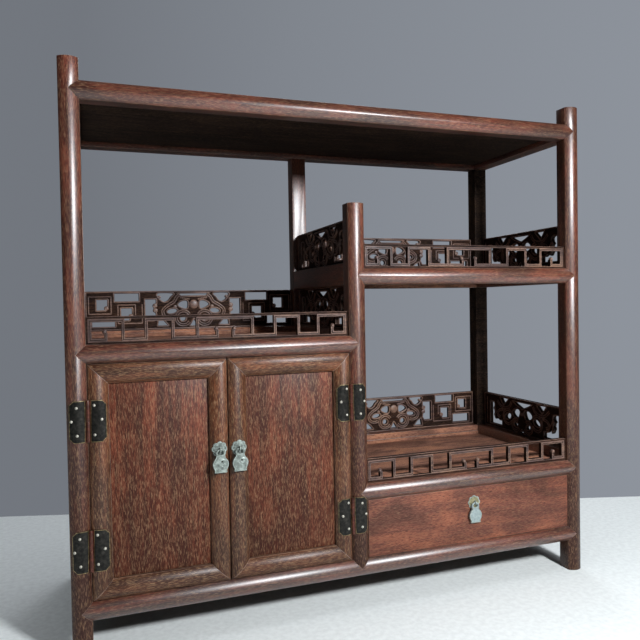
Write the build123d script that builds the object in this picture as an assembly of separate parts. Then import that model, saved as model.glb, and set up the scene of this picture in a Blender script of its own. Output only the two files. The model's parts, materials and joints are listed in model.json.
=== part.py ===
from build123d import *
import math
import os

# A table-top Chinese display cabinet in dark rosewood: a two-door cupboard with an open
# shelf over it on the left, two open shelves and a drawer on the right, and pierced
# galleries round every shelf.  Millimetres, +X to the right, front towards -Y, +Z up.
# The origin is the bottom centre of the box that the whole cabinet fills.

# ---------------------------------------------------------------- driving sizes
width = 600.0                # over the corner posts
depth = 222.0                # from the crest of the front mouldings to the back
leg_height = 37.0            # clear height under the base rails
rail_height = 18.0           # every front rail
drawer_opening = 65.0        # base rail to lower shelf rail
door_opening = 230.0         # base rail to left shelf rail
lower_opening = 221.0        # lower shelf rail to upper shelf rail
top_opening = 159.0          # upper shelf rail to top rail
corner_post_reach = 21.0     # corner posts above the top rail
middle_post_reach = 71.0     # middle post above the upper shelf rail
middle_post_x = 0.0          # centre of the middle posts

post_width = 19.0
front_post_depth = 19.5      # crest of the moulding to the flat back
back_post_depth = 19.0
moulding_rise = 4.5          # how far the rounded face stands out from its arrises
mitre_depth = 8.0            # how far the pointed shoulders reach in from the front
tenon_length = 11.0
tenon_thickness = 5.5
tenon_margin = 2.0           # wood left above or below a tenon
mitre_margin = 1.0           # wood left between the pointed shoulders and the tenons
cross_tenon_length = 9.0     # side rails into the posts

board_thickness = 9.0        # shelf boards
board_drop = 2.0             # shelf board below the rails' top
floor_thickness = 8.0        # cupboard and drawer floors, flush with the base rails
wall_thickness = 7.0         # cupboard walls, divider and back boards
tongue_length = 4.0
tongue_thickness = 4.0
tongue_play = 0.5            # room for the boards to swell
side_wall_recess = 4.0       # side walls behind the posts' outer faces
back_board_recess = 5.0

left_upstand = 6.0           # back and side rails above the front rail, by shelf
upper_upstand = 6.0
lower_upstand = 11.0
bead_width = 1.5             # bead along the foot of a shelf's back rail
bead_height = 4.5            # above the shelf board
ledger_height = 8.0          # ledger that carries the lower shelf on the divider

gallery_thickness = 6.0
gallery_setback = 7.5        # front galleries behind the crest of the mouldings
tall_gallery_inset = 0.9     # back and outer side galleries inside the posts' outer faces
front_gallery_height = 27.0
tall_gallery_height = 50.0
gallery_stub = 2.5           # stub tenons at the galleries' ends
gallery_stub_height = 8.0
gallery_stub_thickness = 3.0
frame_bar = 2.6              # thin outer frame of a front gallery
fret_line = 3.0
fret_curl_radius = 2.1
meander_turns = (0.744, 0.582, 0.390, 0.210)   # upright lines, as shares of the half length
end_hook_reach = 14.5        # hooks of the fret, from the stile and from the middle
centre_hook_reach = 8.4
hook_rise = 0.36             # share of the fret's height
scroll_grid = (271.0, 50.0)  # length and height that each pierced pattern is drawn on
cloud_grid = (183.0, 50.0)

door_gap = 0.6               # round each door
meeting_gap = 1.2            # between the two doors
door_thickness = 15.5
door_frame_width = 19.0
door_frame_tenon = 7.0
panel_thickness = 6.0
panel_setback = 2.6          # panel behind the arris of the door frame

hinge_length = 40.0
upper_hinge_inset = 54.0     # centre of the upper hinge below the door's top
lower_hinge_inset = 50.0     # centre of the lower hinge above the door's foot
leaf_width = 17.0            # pin to outer edge, along X
leaf_thickness = 0.8
leaf_chamfer = 4.0
knuckle_radius = 2.0
knuckle_gap = 0.3
pin_radius = 1.0
pin_play = 0.05
pin_setback = 1.5            # pin's axis behind the crest of the mouldings
knuckle_room = 0.3           # round the other leaf's knuckle

drawer_gap = 0.5
drawer_front_thickness = 12.0
drawer_side_thickness = 8.0
drawer_side_height = 56.0
drawer_bottom_thickness = 4.0
drawer_bottom_lift = 4.0     # bottom above the lower edge of the sides
drawer_back_room = 8.0       # behind the closed drawer
drawer_lift = 0.3            # running gap under the drawer
dovetail_length = 8.0
dovetail_flare = 1.6
guide_height = 14.0

plate_radius = 8.2           # round pull plate, over its lobes
plate_waist = 7.0            # between two lobes
plate_lobes = 8
facets = 8                   # sides of the small turned and cast shapes
plate_thickness = 1.0
eye_hole_radius = 1.25
eye_bar = 1.4                # width and thickness of the eye's metal
ring_bar = 1.6               # width and thickness of the pendant's ring
ring_radius = 3.3            # centre line of the pendant's ring
pendant_thickness = 3.2
pendant_room = 0.45          # between the pendant's back and the plate
neck_width = 9.0
neck_overlap = 1.2           # belly's top above the ring's lowest point
belly_radius = 8.1
belly_height = 13.5
belly_hole_radius = 1.1
waist_length = 1.55          # belly's lowest level to the foot
waist_width = 12.0
foot_width = 13.2
foot_bow = 0.7               # rounding of the foot's lower edge
door_pull_height = 137.5     # eye above the base rail
drawer_pull_rise = 14.0      # eye above the middle of the drawer front

# ---------------------------------------------------------------- levels and lines
base_top = leg_height + rail_height
lower_bottom = base_top + drawer_opening
lower_top = lower_bottom + rail_height
left_bottom = base_top + door_opening
left_top = left_bottom + rail_height
upper_bottom = lower_top + lower_opening
upper_top = upper_bottom + rail_height
top_bottom = upper_top + top_opening
top_top = top_bottom + rail_height
corner_post_height = top_top + corner_post_reach
middle_post_top = upper_top + middle_post_reach

eye_radius = eye_hole_radius + eye_bar
eye_stand_off = plate_thickness + pendant_room + pendant_thickness / 2
pull_reach = eye_stand_off + eye_radius             # pulls in front of the crests

front = (pull_reach - depth) / 2     # crest of the front mouldings
arris = front + moulding_rise
front_back = front + front_post_depth   # back of the front posts and rails
back = front + depth
back_front = back - back_post_depth     # front of the back posts and rails
shelf_back = back_front - bead_width    # where the shelf boards meet their back rails

left_edge, right_edge = -width / 2, width / 2
left_inner = left_edge + post_width
right_inner = right_edge - post_width
left_middle = middle_post_x - post_width / 2
right_middle = middle_post_x + post_width / 2
left_axis = left_edge + post_width / 2
right_axis = right_edge - post_width / 2

hinge_pin_y = front + pin_setback
pieces = {}                  # one solid each, by its own name


# ---------------------------------------------------------------- basic shapes
def block(x0, x1, y0, y1, z0, z1):
    """A box between two corners."""
    centre = ((x0 + x1) / 2, (y0 + y1) / 2, (z0 + z1) / 2)
    return Pos(*centre) * Box(abs(x1 - x0), abs(y1 - y0), abs(z1 - z0))


def filled(*edges):
    """The flat face inside a closed loop of edges."""
    return make_face(Wire(list(edges)))


def moulded_rail(x0, x1, z0, z1, y_back, y_front=front, rise=moulding_rise):
    """A bar along X with a rounded front face."""
    middle = (x0, y_front, (z0 + z1) / 2)
    low, high = (x0, y_front + rise, z0), (x0, y_front + rise, z1)
    section = filled(
        ThreePointArc(low, middle, high),
        Line(high, (x0, y_back, z1)),
        Line((x0, y_back, z1), (x0, y_back, z0)),
        Line((x0, y_back, z0), low),
    )
    return extrude(section, amount=x1 - x0, dir=(1, 0, 0))


def moulded_post(x0, x1, z0, z1, y_back, y_front=front, rise=moulding_rise):
    """A bar along Z with a rounded front face."""
    middle = ((x0 + x1) / 2, y_front, z0)
    left, right = (x0, y_front + rise, z0), (x1, y_front + rise, z0)
    section = filled(
        ThreePointArc(left, middle, right),
        Line(right, (x1, y_back, z0)),
        Line((x1, y_back, z0), (x0, y_back, z0)),
        Line((x0, y_back, z0), left),
    )
    return extrude(section, amount=z1 - z0, dir=(0, 0, 1))


def front_prism(points, y0, y1):
    """A prism along Y over a polygon of (x, z) points."""
    face = make_face(Polyline([(x, y0, z) for x, z in points], close=True))
    return extrude(face, amount=y1 - y0, dir=(0, 1, 0))


def join(tenoned, mortised, tenon):
    """Adds a tenon to one piece and cuts its mortise in the other."""
    pieces[tenoned] += tenon
    pieces[mortised] -= tenon


def set_board(name, body, tongues, thin, housed_in):
    """Adds a board with tongues, and cuts their grooves in the pieces round it.

    thin is the axis of the board's thickness, along which a groove fits its tongue.
    """
    shape = block(*body)
    for box in tongues:
        shape += block(*box)
        room = list(box)
        for axis in range(3):
            if axis != thin:
                room[2 * axis] -= tongue_play
                room[2 * axis + 1] += tongue_play
        for other in housed_in:
            pieces[other] -= block(*room)
    pieces[name] = shape


def level_board(name, x0, x1, y0, y1, z_top, thickness, housed_in, bay_x0=None):
    """A level board, tongued into the rails round it and notched at the posts.

    bay_x0 is the right face of the left posts, where the board passes behind them and
    has no tongue at its left end.
    """
    z0 = z_top - thickness
    t0 = z0 + (thickness - tongue_thickness) / 2
    t1 = t0 + tongue_thickness
    reach = x0 - tongue_length if bay_x0 is None else x0
    rail_x0 = x0 if bay_x0 is None else bay_x0
    tongues = [
        (rail_x0 + tongue_play, x1 - tongue_play, y0 - tongue_length, y1 + tongue_length, t0, t1),
        (reach, x1 + tongue_length, y0 + tongue_play, y1 - tongue_play, t0, t1),
    ]
    set_board(name, (x0, x1, y0, y1, z0, z_top), tongues, 2, housed_in)


# ---------------------------------------------------------------- posts and rails
def make_posts():
    """Four corner posts and the two middle posts."""
    for side, x0 in (("left", left_edge), ("right", right_inner)):
        x1 = x0 + post_width
        pieces[f"front_{side}_post"] = moulded_post(x0, x1, 0, corner_post_height, front_back)
        pieces[f"back_{side}_post"] = block(x0, x1, back_front, back, 0, corner_post_height)
    # The front middle post ends in a point that is let into the base rail's moulding.
    post = moulded_post(left_middle, right_middle, base_top, middle_post_top, front_back)
    tip_z = base_top - post_width / 2
    point = moulded_post(left_middle, right_middle, tip_z, base_top, front_back)
    triangle = [(left_middle, base_top), (right_middle, base_top), (middle_post_x, tip_z)]
    pieces["front_middle_post"] = post + (point & front_prism(triangle, front - 1, front + mitre_depth))
    pieces["back_middle_post"] = block(
        left_middle, right_middle, back_front, back, base_top, top_bottom + board_drop)


def shoulder(edge, axis, z0, z1):
    """The pointed shoulder of a front rail, from a post's edge to its centre line."""
    return front_prism([(edge, z0), (edge, z1), (axis, (z0 + z1) / 2)], front - 1, front + mitre_depth)


def front_rail(name, left_post, right_post, x_left, x_right, z0):
    """A rounded front rail with pointed shoulders and a tenon at both ends."""
    z1 = z0 + rail_height
    rail = moulded_rail(x_left, x_right, z0, z1, front_back)
    y0 = front + mitre_depth + mitre_margin
    for post, edge, way in ((left_post, x_left, -1), (right_post, x_right, 1)):
        axis = edge + way * post_width / 2
        cut = shoulder(edge, axis, z0, z1)
        stretch = moulded_rail(min(edge, axis), max(edge, axis), z0, z1, front_back)
        rail += stretch & cut
        pieces[post] -= cut
    pieces[name] = rail
    for post, edge, way in ((left_post, x_left, -1), (right_post, x_right, 1)):
        end = edge + way * tenon_length
        tenon = block(min(edge, end), max(edge, end), y0, y0 + tenon_thickness,
                      (z0 + z1) / 2, z1 - tenon_margin)
        join(name, post, tenon)


def back_rail(name, left_post, right_post, x_left, x_right, z0, z1, board_top=None):
    """A flat back rail.  board_top is the level of a shelf board that meets its bead."""
    rail = block(x_left, x_right, back_front, back, z0, z1)
    if board_top is not None:
        rail += block(x_left, x_right, shelf_back, back_front, z0, board_top + bead_height)
    pieces[name] = rail
    y_mid = (back_front + back) / 2
    for post, edge, way in ((left_post, x_left, -1), (right_post, x_right, 1)):
        reach = min(tenon_length, post_width / 2 - tenon_margin / 2)
        end = edge + way * reach
        tenon = block(min(edge, end), max(edge, end), y_mid - tenon_thickness / 2,
                      y_mid + tenon_thickness / 2, (z0 + z1) / 2, z1 - tenon_margin)
        join(name, post, tenon)


def side_rail(name, front_post, back_post, x_axis, level, z0, z1):
    """A flat rail along Y between a front and a back post.

    level is the underside of the front rail beside it.  The side rail's tenon takes the
    lower half of that height in the post, and the front rail's tenon the upper half.
    """
    x0, x1 = x_axis - post_width / 2, x_axis + post_width / 2
    pieces[name] = block(x0, x1, front_back, back_front, z0, z1)
    for post, edge, way in ((front_post, front_back, -1), (back_post, back_front, 1)):
        end = edge + way * cross_tenon_length
        tenon = block(x_axis - tenon_thickness / 2, x_axis + tenon_thickness / 2,
                      min(edge, end), max(edge, end), z0 + tenon_margin, level + rail_height / 2)
        join(name, post, tenon)


def make_rails():
    """The rails of the base, the three shelves and the top."""
    corners = ("front_left_post", "front_right_post", left_inner, right_inner)
    left_bay = ("front_left_post", "front_middle_post", left_inner, left_middle)
    right_bay = ("front_middle_post", "front_right_post", right_middle, right_inner)
    front_rail("base_front_rail", *corners, leg_height)
    front_rail("top_front_rail", *corners, top_bottom)
    front_rail("left_shelf_front_rail", *left_bay, left_bottom)
    front_rail("upper_shelf_front_rail", *right_bay, upper_bottom)
    front_rail("lower_shelf_front_rail", *right_bay, lower_bottom)

    # The front middle post stands in the base rail, on a point and a tenon.
    tip_z = base_top - post_width / 2
    triangle = [(left_middle, base_top), (right_middle, base_top), (middle_post_x, tip_z)]
    pieces["base_front_rail"] -= front_prism(triangle, front - 1, front + mitre_depth)
    y0 = front + mitre_depth + mitre_margin
    half = tenon_thickness / 2
    foot = block(middle_post_x - half, middle_post_x + half, y0, y0 + tenon_thickness,
                 base_top - tenon_length, base_top)
    join("front_middle_post", "base_front_rail", foot)

    corners = ("back_left_post", "back_right_post", left_inner, right_inner)
    left_bay = ("back_left_post", "back_middle_post", left_inner, left_middle)
    right_bay = ("back_middle_post", "back_right_post", right_middle, right_inner)
    back_rail("base_back_rail", *corners, leg_height, base_top)
    back_rail("top_back_rail", *corners, top_bottom + board_drop, top_top)
    back_rail("left_shelf_back_rail", *left_bay, left_bottom, left_top + left_upstand,
              left_top - board_drop)
    back_rail("upper_shelf_back_rail", *right_bay, upper_bottom, upper_top + upper_upstand,
              upper_top - board_drop)
    back_rail("lower_shelf_back_rail", *right_bay, lower_bottom, lower_top + lower_upstand,
              lower_top - board_drop)
    y_mid = (back_front + back) / 2
    for rail, z0, z1 in (("base_back_rail", base_top - tenon_length, base_top),
                         ("top_back_rail", top_bottom + board_drop,
                          top_bottom + board_drop + tenon_length)):
        join("back_middle_post", rail, block(middle_post_x - half, middle_post_x + half,
                                             y_mid - half, y_mid + half, z0, z1))

    for side, axis in (("left", left_axis), ("right", right_axis)):
        posts = (f"front_{side}_post", f"back_{side}_post", axis)
        side_rail(f"top_{side}_rail", *posts, top_bottom, top_bottom + board_drop, top_top)
        side_rail(f"base_{side}_rail", *posts, leg_height, leg_height, base_top)
    middle = ("front_middle_post", "back_middle_post", middle_post_x)
    left = ("front_left_post", "back_left_post", left_axis)
    right = ("front_right_post", "back_right_post", right_axis)
    left_heights = (left_bottom, left_bottom, left_top + left_upstand)
    upper_heights = (upper_bottom, upper_bottom, upper_top + upper_upstand)
    side_rail("left_shelf_left_rail", *left, *left_heights)
    side_rail("left_shelf_right_rail", *middle, *left_heights)
    side_rail("upper_shelf_left_rail", *middle, *upper_heights)
    side_rail("upper_shelf_right_rail", *right, *upper_heights)
    side_rail("lower_shelf_side_rail", *right, lower_bottom, lower_bottom,
              lower_top + lower_upstand)
    # Under the divider the base has a rail that stands between the two long rails.
    pieces["base_middle_rail"] = block(left_middle, right_middle, front_back, back_front,
                                       leg_height, base_top)
    for rail, edge, way in (("base_front_rail", front_back, -1), ("base_back_rail", back_front, 1)):
        end = edge + way * tongue_length
        tenon = block(left_middle + tenon_margin, right_middle - tenon_margin, min(edge, end),
                      max(edge, end), leg_height + tenon_margin, base_top - tenon_length)
        join("base_middle_rail", rail, tenon)


# ---------------------------------------------------------------- boards and walls
def make_boards():
    """The top, the shelf boards and the floors."""
    level_board("top_board", left_inner, right_inner, front_back, back_front,
                top_top - board_drop / 2, board_thickness,
                ("top_front_rail", "top_back_rail", "top_left_rail", "top_right_rail"))
    level_board("left_shelf_board", left_inner, left_middle, front_back, shelf_back,
                left_top - board_drop, board_thickness,
                ("left_shelf_front_rail", "left_shelf_back_rail",
                 "left_shelf_left_rail", "left_shelf_right_rail"))
    level_board("upper_shelf_board", right_middle, right_inner, front_back, shelf_back,
                upper_top - board_drop, board_thickness,
                ("upper_shelf_front_rail", "upper_shelf_back_rail",
                 "upper_shelf_left_rail", "upper_shelf_right_rail"))
    level_board("cupboard_floor", left_inner, left_middle, front_back, back_front,
                base_top, floor_thickness,
                ("base_front_rail", "base_back_rail", "base_left_rail", "base_middle_rail"))
    level_board("drawer_floor", right_middle, right_inner, front_back, back_front,
                base_top, floor_thickness,
                ("base_front_rail", "base_back_rail", "base_middle_rail", "base_right_rail"))
    # On the left the lower shelf lies on a ledger, against the divider.
    divider_face = middle_post_x + wall_thickness / 2
    shelf_z = lower_top - board_drop
    level_board("lower_shelf_board", divider_face, right_inner, front_back, shelf_back,
                shelf_z, board_thickness,
                ("lower_shelf_front_rail", "lower_shelf_back_rail", "lower_shelf_side_rail"),
                bay_x0=right_middle)
    underside = shelf_z - board_thickness
    pieces["lower_shelf_ledger"] = block(divider_face, right_middle, front_back, shelf_back,
                                         underside - ledger_height, underside)


def upright_wall(name, x0, y0, y1, z0, z1, housed_in):
    """A wall board in the YZ plane, tongued into its posts and rails."""
    x1 = x0 + wall_thickness
    t0 = x0 + (wall_thickness - tongue_thickness) / 2
    t1 = t0 + tongue_thickness
    reach, play = tongue_length, tongue_play
    set_board(name, (x0, x1, y0, y1, z0, z1),
              [(t0, t1, y0 - reach, y1 + reach, z0 + play, z1 - play),
               (t0, t1, y0 + play, y1 - play, z0 - reach, z1 + reach)], 0, housed_in)


def back_board(name, x0, x1, z0, z1, housed_in):
    """A back board, tongued into its posts and rails."""
    y1 = back - back_board_recess
    y0 = y1 - wall_thickness
    t0 = y0 + (wall_thickness - tongue_thickness) / 2
    t1 = t0 + tongue_thickness
    reach, play = tongue_length, tongue_play
    set_board(name, (x0, x1, y0, y1, z0, z1),
              [(x0 - reach, x1 + reach, t0, t1, z0 + play, z1 - play),
               (x0 + play, x1 - play, t0, t1, z0 - reach, z1 + reach)], 1, housed_in)


def make_walls():
    """Walls round the cupboard and the drawer, with the drawer's guides."""
    upright_wall("cupboard_side_wall", left_edge + side_wall_recess, front_back, back_front,
                 base_top, left_bottom,
                 ("front_left_post", "back_left_post", "base_left_rail", "left_shelf_left_rail"))
    upright_wall("divider_wall", middle_post_x - wall_thickness / 2, front_back, back_front,
                 base_top, left_bottom,
                 ("front_middle_post", "back_middle_post", "base_middle_rail",
                  "left_shelf_right_rail"))
    upright_wall("drawer_side_wall", right_edge - side_wall_recess - wall_thickness,
                 front_back, back_front, base_top, lower_bottom,
                 ("front_right_post", "back_right_post", "base_right_rail",
                  "lower_shelf_side_rail"))
    back_board("cupboard_back_board", left_inner, left_middle, base_top, left_bottom,
               ("back_left_post", "back_middle_post", "base_back_rail", "left_shelf_back_rail"))
    back_board("drawer_back_board", right_middle, right_inner, base_top, lower_bottom,
               ("back_middle_post", "back_right_post", "base_back_rail",
                "lower_shelf_back_rail"))
    guide_top = base_top + guide_height
    pieces["left_drawer_guide"] = block(middle_post_x + wall_thickness / 2, right_middle,
                                        front_back, back_front, base_top, guide_top)
    pieces["right_drawer_guide"] = block(right_inner, right_edge - side_wall_recess - wall_thickness,
                                         front_back, back_front, base_top, guide_top)


# ---------------------------------------------------------------- pierced galleries
def area(x0, x1, z0, z1):
    """A rectangle of the gallery's flat pattern, along it and up it."""
    return Pos((x0 + x1) / 2, (z0 + z1) / 2) * Rectangle(x1 - x0, z1 - z0)


def polygon(points):
    """The flat face inside a list of points."""
    return make_face(Polyline(points, close=True))


def fret(points, line):
    """A square-cut fret line through a list of points."""
    shape = Sketch()
    for (xa, za), (xb, zb) in zip(points, points[1:]):
        shape += area(min(xa, xb) - line / 2, max(xa, xb) + line / 2,
                      min(za, zb) - line / 2, max(za, zb) + line / 2)
    return shape


def mirrored(shape):
    """A pattern and its mirror image across the gallery's middle."""
    return shape + mirror(shape, Plane.YZ)


def meander_pattern(length, height):
    """Fret line and thin frame of a front gallery."""
    half = length / 2
    low = frame_bar + fret_line / 2
    high = height - low
    stile = half - low
    turns = [half * share for share in meander_turns]
    end_hook, centre_hook = stile - end_hook_reach, centre_hook_reach
    hook_top = low + (high - low) * hook_rise
    path = [(end_hook, hook_top), (end_hook, low), (stile, low), (stile, high)]
    level = high
    for turn in turns:
        path.append((turn, level))
        level = low if level == high else high
        path.append((turn, level))
    path.append((0, high))
    centre = [(turns[-1], low), (centre_hook, low), (centre_hook, hook_top)]
    line = fret(path, fret_line) + fret(centre, fret_line)
    for x in (end_hook + fret_line / 3, centre_hook + fret_line / 3):
        line += Pos(x, hook_top + fret_line / 3) * RegularPolygon(fret_curl_radius, facets)
    frame = area(-half, half, 0, height)
    frame -= area(-half + frame_bar, half - frame_bar, frame_bar, height - frame_bar)
    return mirrored(line) + frame


def oval(x, z, long_radius, short_radius, turn=0, count=6):
    """Points round an oval, turned by an angle in degrees."""
    tilt = math.radians(turn)
    points = []
    for k in range(count):
        u = long_radius * math.cos(2 * math.pi * k / count)
        w = short_radius * math.sin(2 * math.pi * k / count)
        points.append((x + u * math.cos(tilt) - w * math.sin(tilt),
                       z + u * math.sin(tilt) + w * math.cos(tilt)))
    return points


def pierced_panel(length, height, grid, paired_holes, middle_holes):
    """A panel pierced by holes that are drawn on the grid and stretched to its size."""
    stretch_x, stretch_z = length / grid[0], height / grid[1]
    panel = area(-length / 2, length / 2, 0, height)
    for holes, ways in ((paired_holes, (-1, 1)), (middle_holes, (1,))):
        for points in holes:
            for way in ways:
                outline = [(way * x * stretch_x, z * stretch_z) for x, z in points]
                panel -= polygon(outline)
    return panel


def scroll_pattern(length, height):
    """A tall back gallery: square frets at the ends, cloud scrolls round a boss between."""
    paired_holes = [
        [(112.2, 24.6), (124.8, 24.6), (124.8, 37.3), (112.2, 37.3)],
        [(103.6, 3.6), (129.4, 3.6), (129.4, 17.2), (103.6, 17.2)],
        [(71.2, 34.9), (101.2, 34.9), (101.2, 45.2), (71.2, 45.2)],
        [(85.6, 11.5), (94.2, 11.5), (94.2, 25.0), (82.6, 25.0), (82.6, 16.5), (85.6, 16.5)],
        [(51.5, 8.0), (63.6, 8.0), (63.6, 37.0), (56.0, 37.0), (56.0, 30.5), (52.0, 27.0),
         (56.5, 22.0), (52.0, 16.0)],
        [(30.5, 45.6), (61.0, 45.6), (48.0, 40.5), (43.0, 34.0), (36.5, 35.5)],
        [(34.5, 7.4), (47.5, 8.4), (44.5, 18.5), (38.5, 13.4)],
        oval(12.4, 30.2, 6.6, 3.0, -32),
        oval(28.4, 22.6, 6.4, 2.7, 24),
        oval(14.2, 12.2, 4.2, 2.4, 8),
    ]
    middle_holes = [
        [(-15.5, 45.6), (15.5, 45.6), (9.0, 40.6), (-9.0, 40.6)],
        [(-4.6, 3.4), (4.6, 3.4), (0, 10.4)],
    ]
    return pierced_panel(length, height, scroll_grid, paired_holes, middle_holes)


def cloud_pattern(length, height):
    """A tall side gallery: one carved cloud between two upright frets."""
    paired_holes = [
        [(75.0, 7.0), (75.0, 36.0), (70.0, 36.0), (66.5, 31.0), (68.5, 22.0), (64.0, 13.5),
         (47.0, 11.6), (47.0, 7.0)],
        [(35.5, 44.2), (52.0, 44.2), (44.0, 36.8)],
        [(9.4, 31.6), (18.5, 32.6), (23.0, 26.0), (16.0, 22.6)],
        oval(34.8, 19.6, 4.4, 3.0, -35),
        oval(16.8, 10.4, 3.9, 2.3, 30),
    ]
    middle_holes = [
        [(-22.0, 44.2), (22.0, 44.2), (17.0, 39.6), (-17.0, 39.6)],
        [(-5.4, 1.8), (5.4, 1.8), (0, 6.2)],
    ]
    return pierced_panel(length, height, cloud_grid, paired_holes, middle_holes)


def place_gallery(name, plane, pattern, half, height, posts):
    """Thickens a flat pattern about a plane and lets its ends into the posts."""
    pieces[name] = extrude(plane * pattern, amount=gallery_thickness / 2, both=True)
    z0 = (height - gallery_stub_height) / 2
    for post, way in zip(posts, (-1, 1)):
        centre = (way * (half + gallery_stub / 2), z0 + gallery_stub_height / 2, 0)
        stub = plane * Pos(*centre) * Box(gallery_stub, gallery_stub_height, gallery_stub_thickness)
        join(name, post, stub)


def cross_plane(x, y, z):
    """A gallery plane that faces the front."""
    return Plane(origin=(x, y, z), x_dir=(1, 0, 0), z_dir=(0, -1, 0))


def side_plane(x, z):
    """A gallery plane that faces the side, midway between the posts."""
    return Plane(origin=(x, (front_back + back_front) / 2, z), x_dir=(0, 1, 0), z_dir=(1, 0, 0))


def make_galleries():
    """Low galleries at the front of each shelf, tall ones at its back and sides."""
    front_y = front + gallery_setback + gallery_thickness / 2
    inset = tall_gallery_inset + gallery_thickness / 2
    back_y = back - inset
    bays = {
        "left": (left_inner, left_middle, "left", "middle", left_top, left_upstand),
        "upper": (right_middle, right_inner, "middle", "right", upper_top, upper_upstand),
        "lower": (right_middle, right_inner, "middle", "right", lower_top, lower_upstand),
    }
    for shelf, (x0, x1, post_a, post_b, level, upstand) in bays.items():
        length = x1 - x0
        place_gallery(f"{shelf}_shelf_front_gallery", cross_plane((x0 + x1) / 2, front_y, level),
                      meander_pattern(length, front_gallery_height), length / 2,
                      front_gallery_height, (f"front_{post_a}_post", f"front_{post_b}_post"))
        place_gallery(f"{shelf}_shelf_back_gallery",
                      cross_plane((x0 + x1) / 2, back_y, level + upstand),
                      scroll_pattern(length, tall_gallery_height), length / 2,
                      tall_gallery_height, (f"back_{post_a}_post", f"back_{post_b}_post"))

    span = back_front - front_back
    panel_height = upper_bottom - left_top - left_upstand
    sides = (
        ("left_shelf_left_gallery", left_edge + inset, left_top + left_upstand,
         tall_gallery_height, "left"),
        ("left_shelf_right_panel", middle_post_x, left_top + left_upstand, panel_height, "middle"),
        ("upper_shelf_left_gallery", middle_post_x, upper_top + upper_upstand,
         tall_gallery_height, "middle"),
        ("upper_shelf_right_gallery", right_edge - inset, upper_top + upper_upstand,
         tall_gallery_height, "right"),
        ("lower_shelf_right_gallery", right_edge - inset, lower_top + lower_upstand,
         tall_gallery_height, "right"),
    )
    for name, x, z, height, post in sides:
        place_gallery(name, side_plane(x, z), cloud_pattern(span, height), span / 2, height,
                      (f"front_{post}_post", f"back_{post}_post"))


# ---------------------------------------------------------------- doors and hinges
def make_door(side, x0, x1):
    """A mitred frame with rounded faces, and a flat panel set in it."""
    z0, z1 = base_top + door_gap, left_bottom - door_gap
    y_back = front + door_thickness
    w = door_frame_width
    frame = {
        "left_stile": moulded_post(x0, x0 + w, z0, z1, y_back),
        "right_stile": moulded_post(x1 - w, x1, z0, z1, y_back),
        "top_rail": moulded_rail(x0, x1, z1 - w, z1, y_back),
        "bottom_rail": moulded_rail(x0, x1, z0, z0 + w, y_back),
    }
    # Each corner is cut along its diagonal, then pinned by a hidden tenon.
    outer = door_frame_width     # the cutting wedges reach this far outside the frame
    for rail, z_out, z_in in (("top_rail", z1, z1 - w), ("bottom_rail", z0, z0 + w)):
        z_far = z_out + math.copysign(outer, z_out - z_in)
        for stile, x_out, x_in in (("left_stile", x0, x0 + w), ("right_stile", x1, x1 - w)):
            x_far = x_out + math.copysign(outer, x_out - x_in)
            rail_half = front_prism([(x_far, z_far), (x_in, z_far), (x_in, z_in)],
                                    front - outer, y_back + outer)
            stile_half = front_prism([(x_far, z_far), (x_far, z_in), (x_in, z_in)],
                                     front - outer, y_back + outer)
            frame[stile] -= rail_half
            frame[rail] -= stile_half
    y_mid = (arris + y_back) / 2
    for rail, z_mid in (("top_rail", z1 - w / 2), ("bottom_rail", z0 + w / 2)):
        for stile, x_out, x_in in (("left_stile", x0, x0 + w), ("right_stile", x1, x1 - w)):
            x_end = x_out + math.copysign(w - door_frame_tenon - tenon_margin * 2, x_in - x_out)
            tenon = block(min(x_end, x_in), max(x_end, x_in), y_mid - tenon_thickness / 2,
                          y_mid + tenon_thickness / 2, z_mid - tenon_margin, z_mid + tenon_margin)
            frame[rail] += tenon
            frame[stile] -= tenon
    for key, shape in frame.items():
        pieces[f"{side}_door_{key}"] = shape

    y0 = arris + panel_setback
    y1 = y0 + panel_thickness
    t0 = y0 + (panel_thickness - tongue_thickness) / 2
    t1 = t0 + tongue_thickness
    px0, px1, pz0, pz1 = x0 + w, x1 - w, z0 + w, z1 - w
    reach = tongue_length
    names = [f"{side}_door_{key}" for key in frame]
    set_board(f"{side}_door_panel", (px0, px1, y0, y1, pz0, pz1),
              [(px0 - reach, px1 + reach, t0, t1, pz0 - reach, pz1 + reach)], 1, names)


def shell_over(x0, x1, z0, z1, thickness):
    """Sheet metal bent over the rounded face between two arrises."""
    centre = (x0 + x1) / 2
    chord = (x1 - x0) / 2
    radius = (chord ** 2 + moulding_rise ** 2) / (2 * moulding_rise)
    y = front + radius
    tube = Cylinder(radius + thickness, z1 - z0) - Cylinder(radius, z1 - z0)
    tube = Pos(centre, y, (z0 + z1) / 2) * tube
    return tube & block(x0, x1, front - thickness - 1, arris, z0 - 1, z1 + 1)


def hinge_leaf(pin_x, post_x0, post_x1, way, z0, z1, knuckle_z0, knuckle_z1):
    """One bent leaf with chamfered outer corners and its rolled knuckle."""
    sheet = shell_over(post_x0, post_x1, z0, z1, leaf_thickness)
    near = pin_x + way * knuckle_radius / 3
    far = pin_x + way * leaf_width
    c = leaf_chamfer
    outline = front_prism([(near, z0), (far - way * c, z0), (far, z0 + c), (far, z1 - c),
                           (far - way * c, z1), (near, z1)], front - 5, arris + 1)
    leaf = sheet & outline
    other = [(z0, knuckle_z0), (knuckle_z1, z1)]
    for a, b in other:
        if b - a > knuckle_gap:
            room = Pos(pin_x, hinge_pin_y, (a + b) / 2)
            leaf -= room * Cylinder(knuckle_radius + knuckle_room, b - a + 2 * knuckle_gap)
    knuckle_place = Pos(pin_x, hinge_pin_y, (knuckle_z0 + knuckle_z1) / 2)
    knuckle = extrude(RegularPolygon(knuckle_radius, facets), amount=(knuckle_z1 - knuckle_z0) / 2,
                      both=True)
    return leaf + knuckle_place * knuckle


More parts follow.
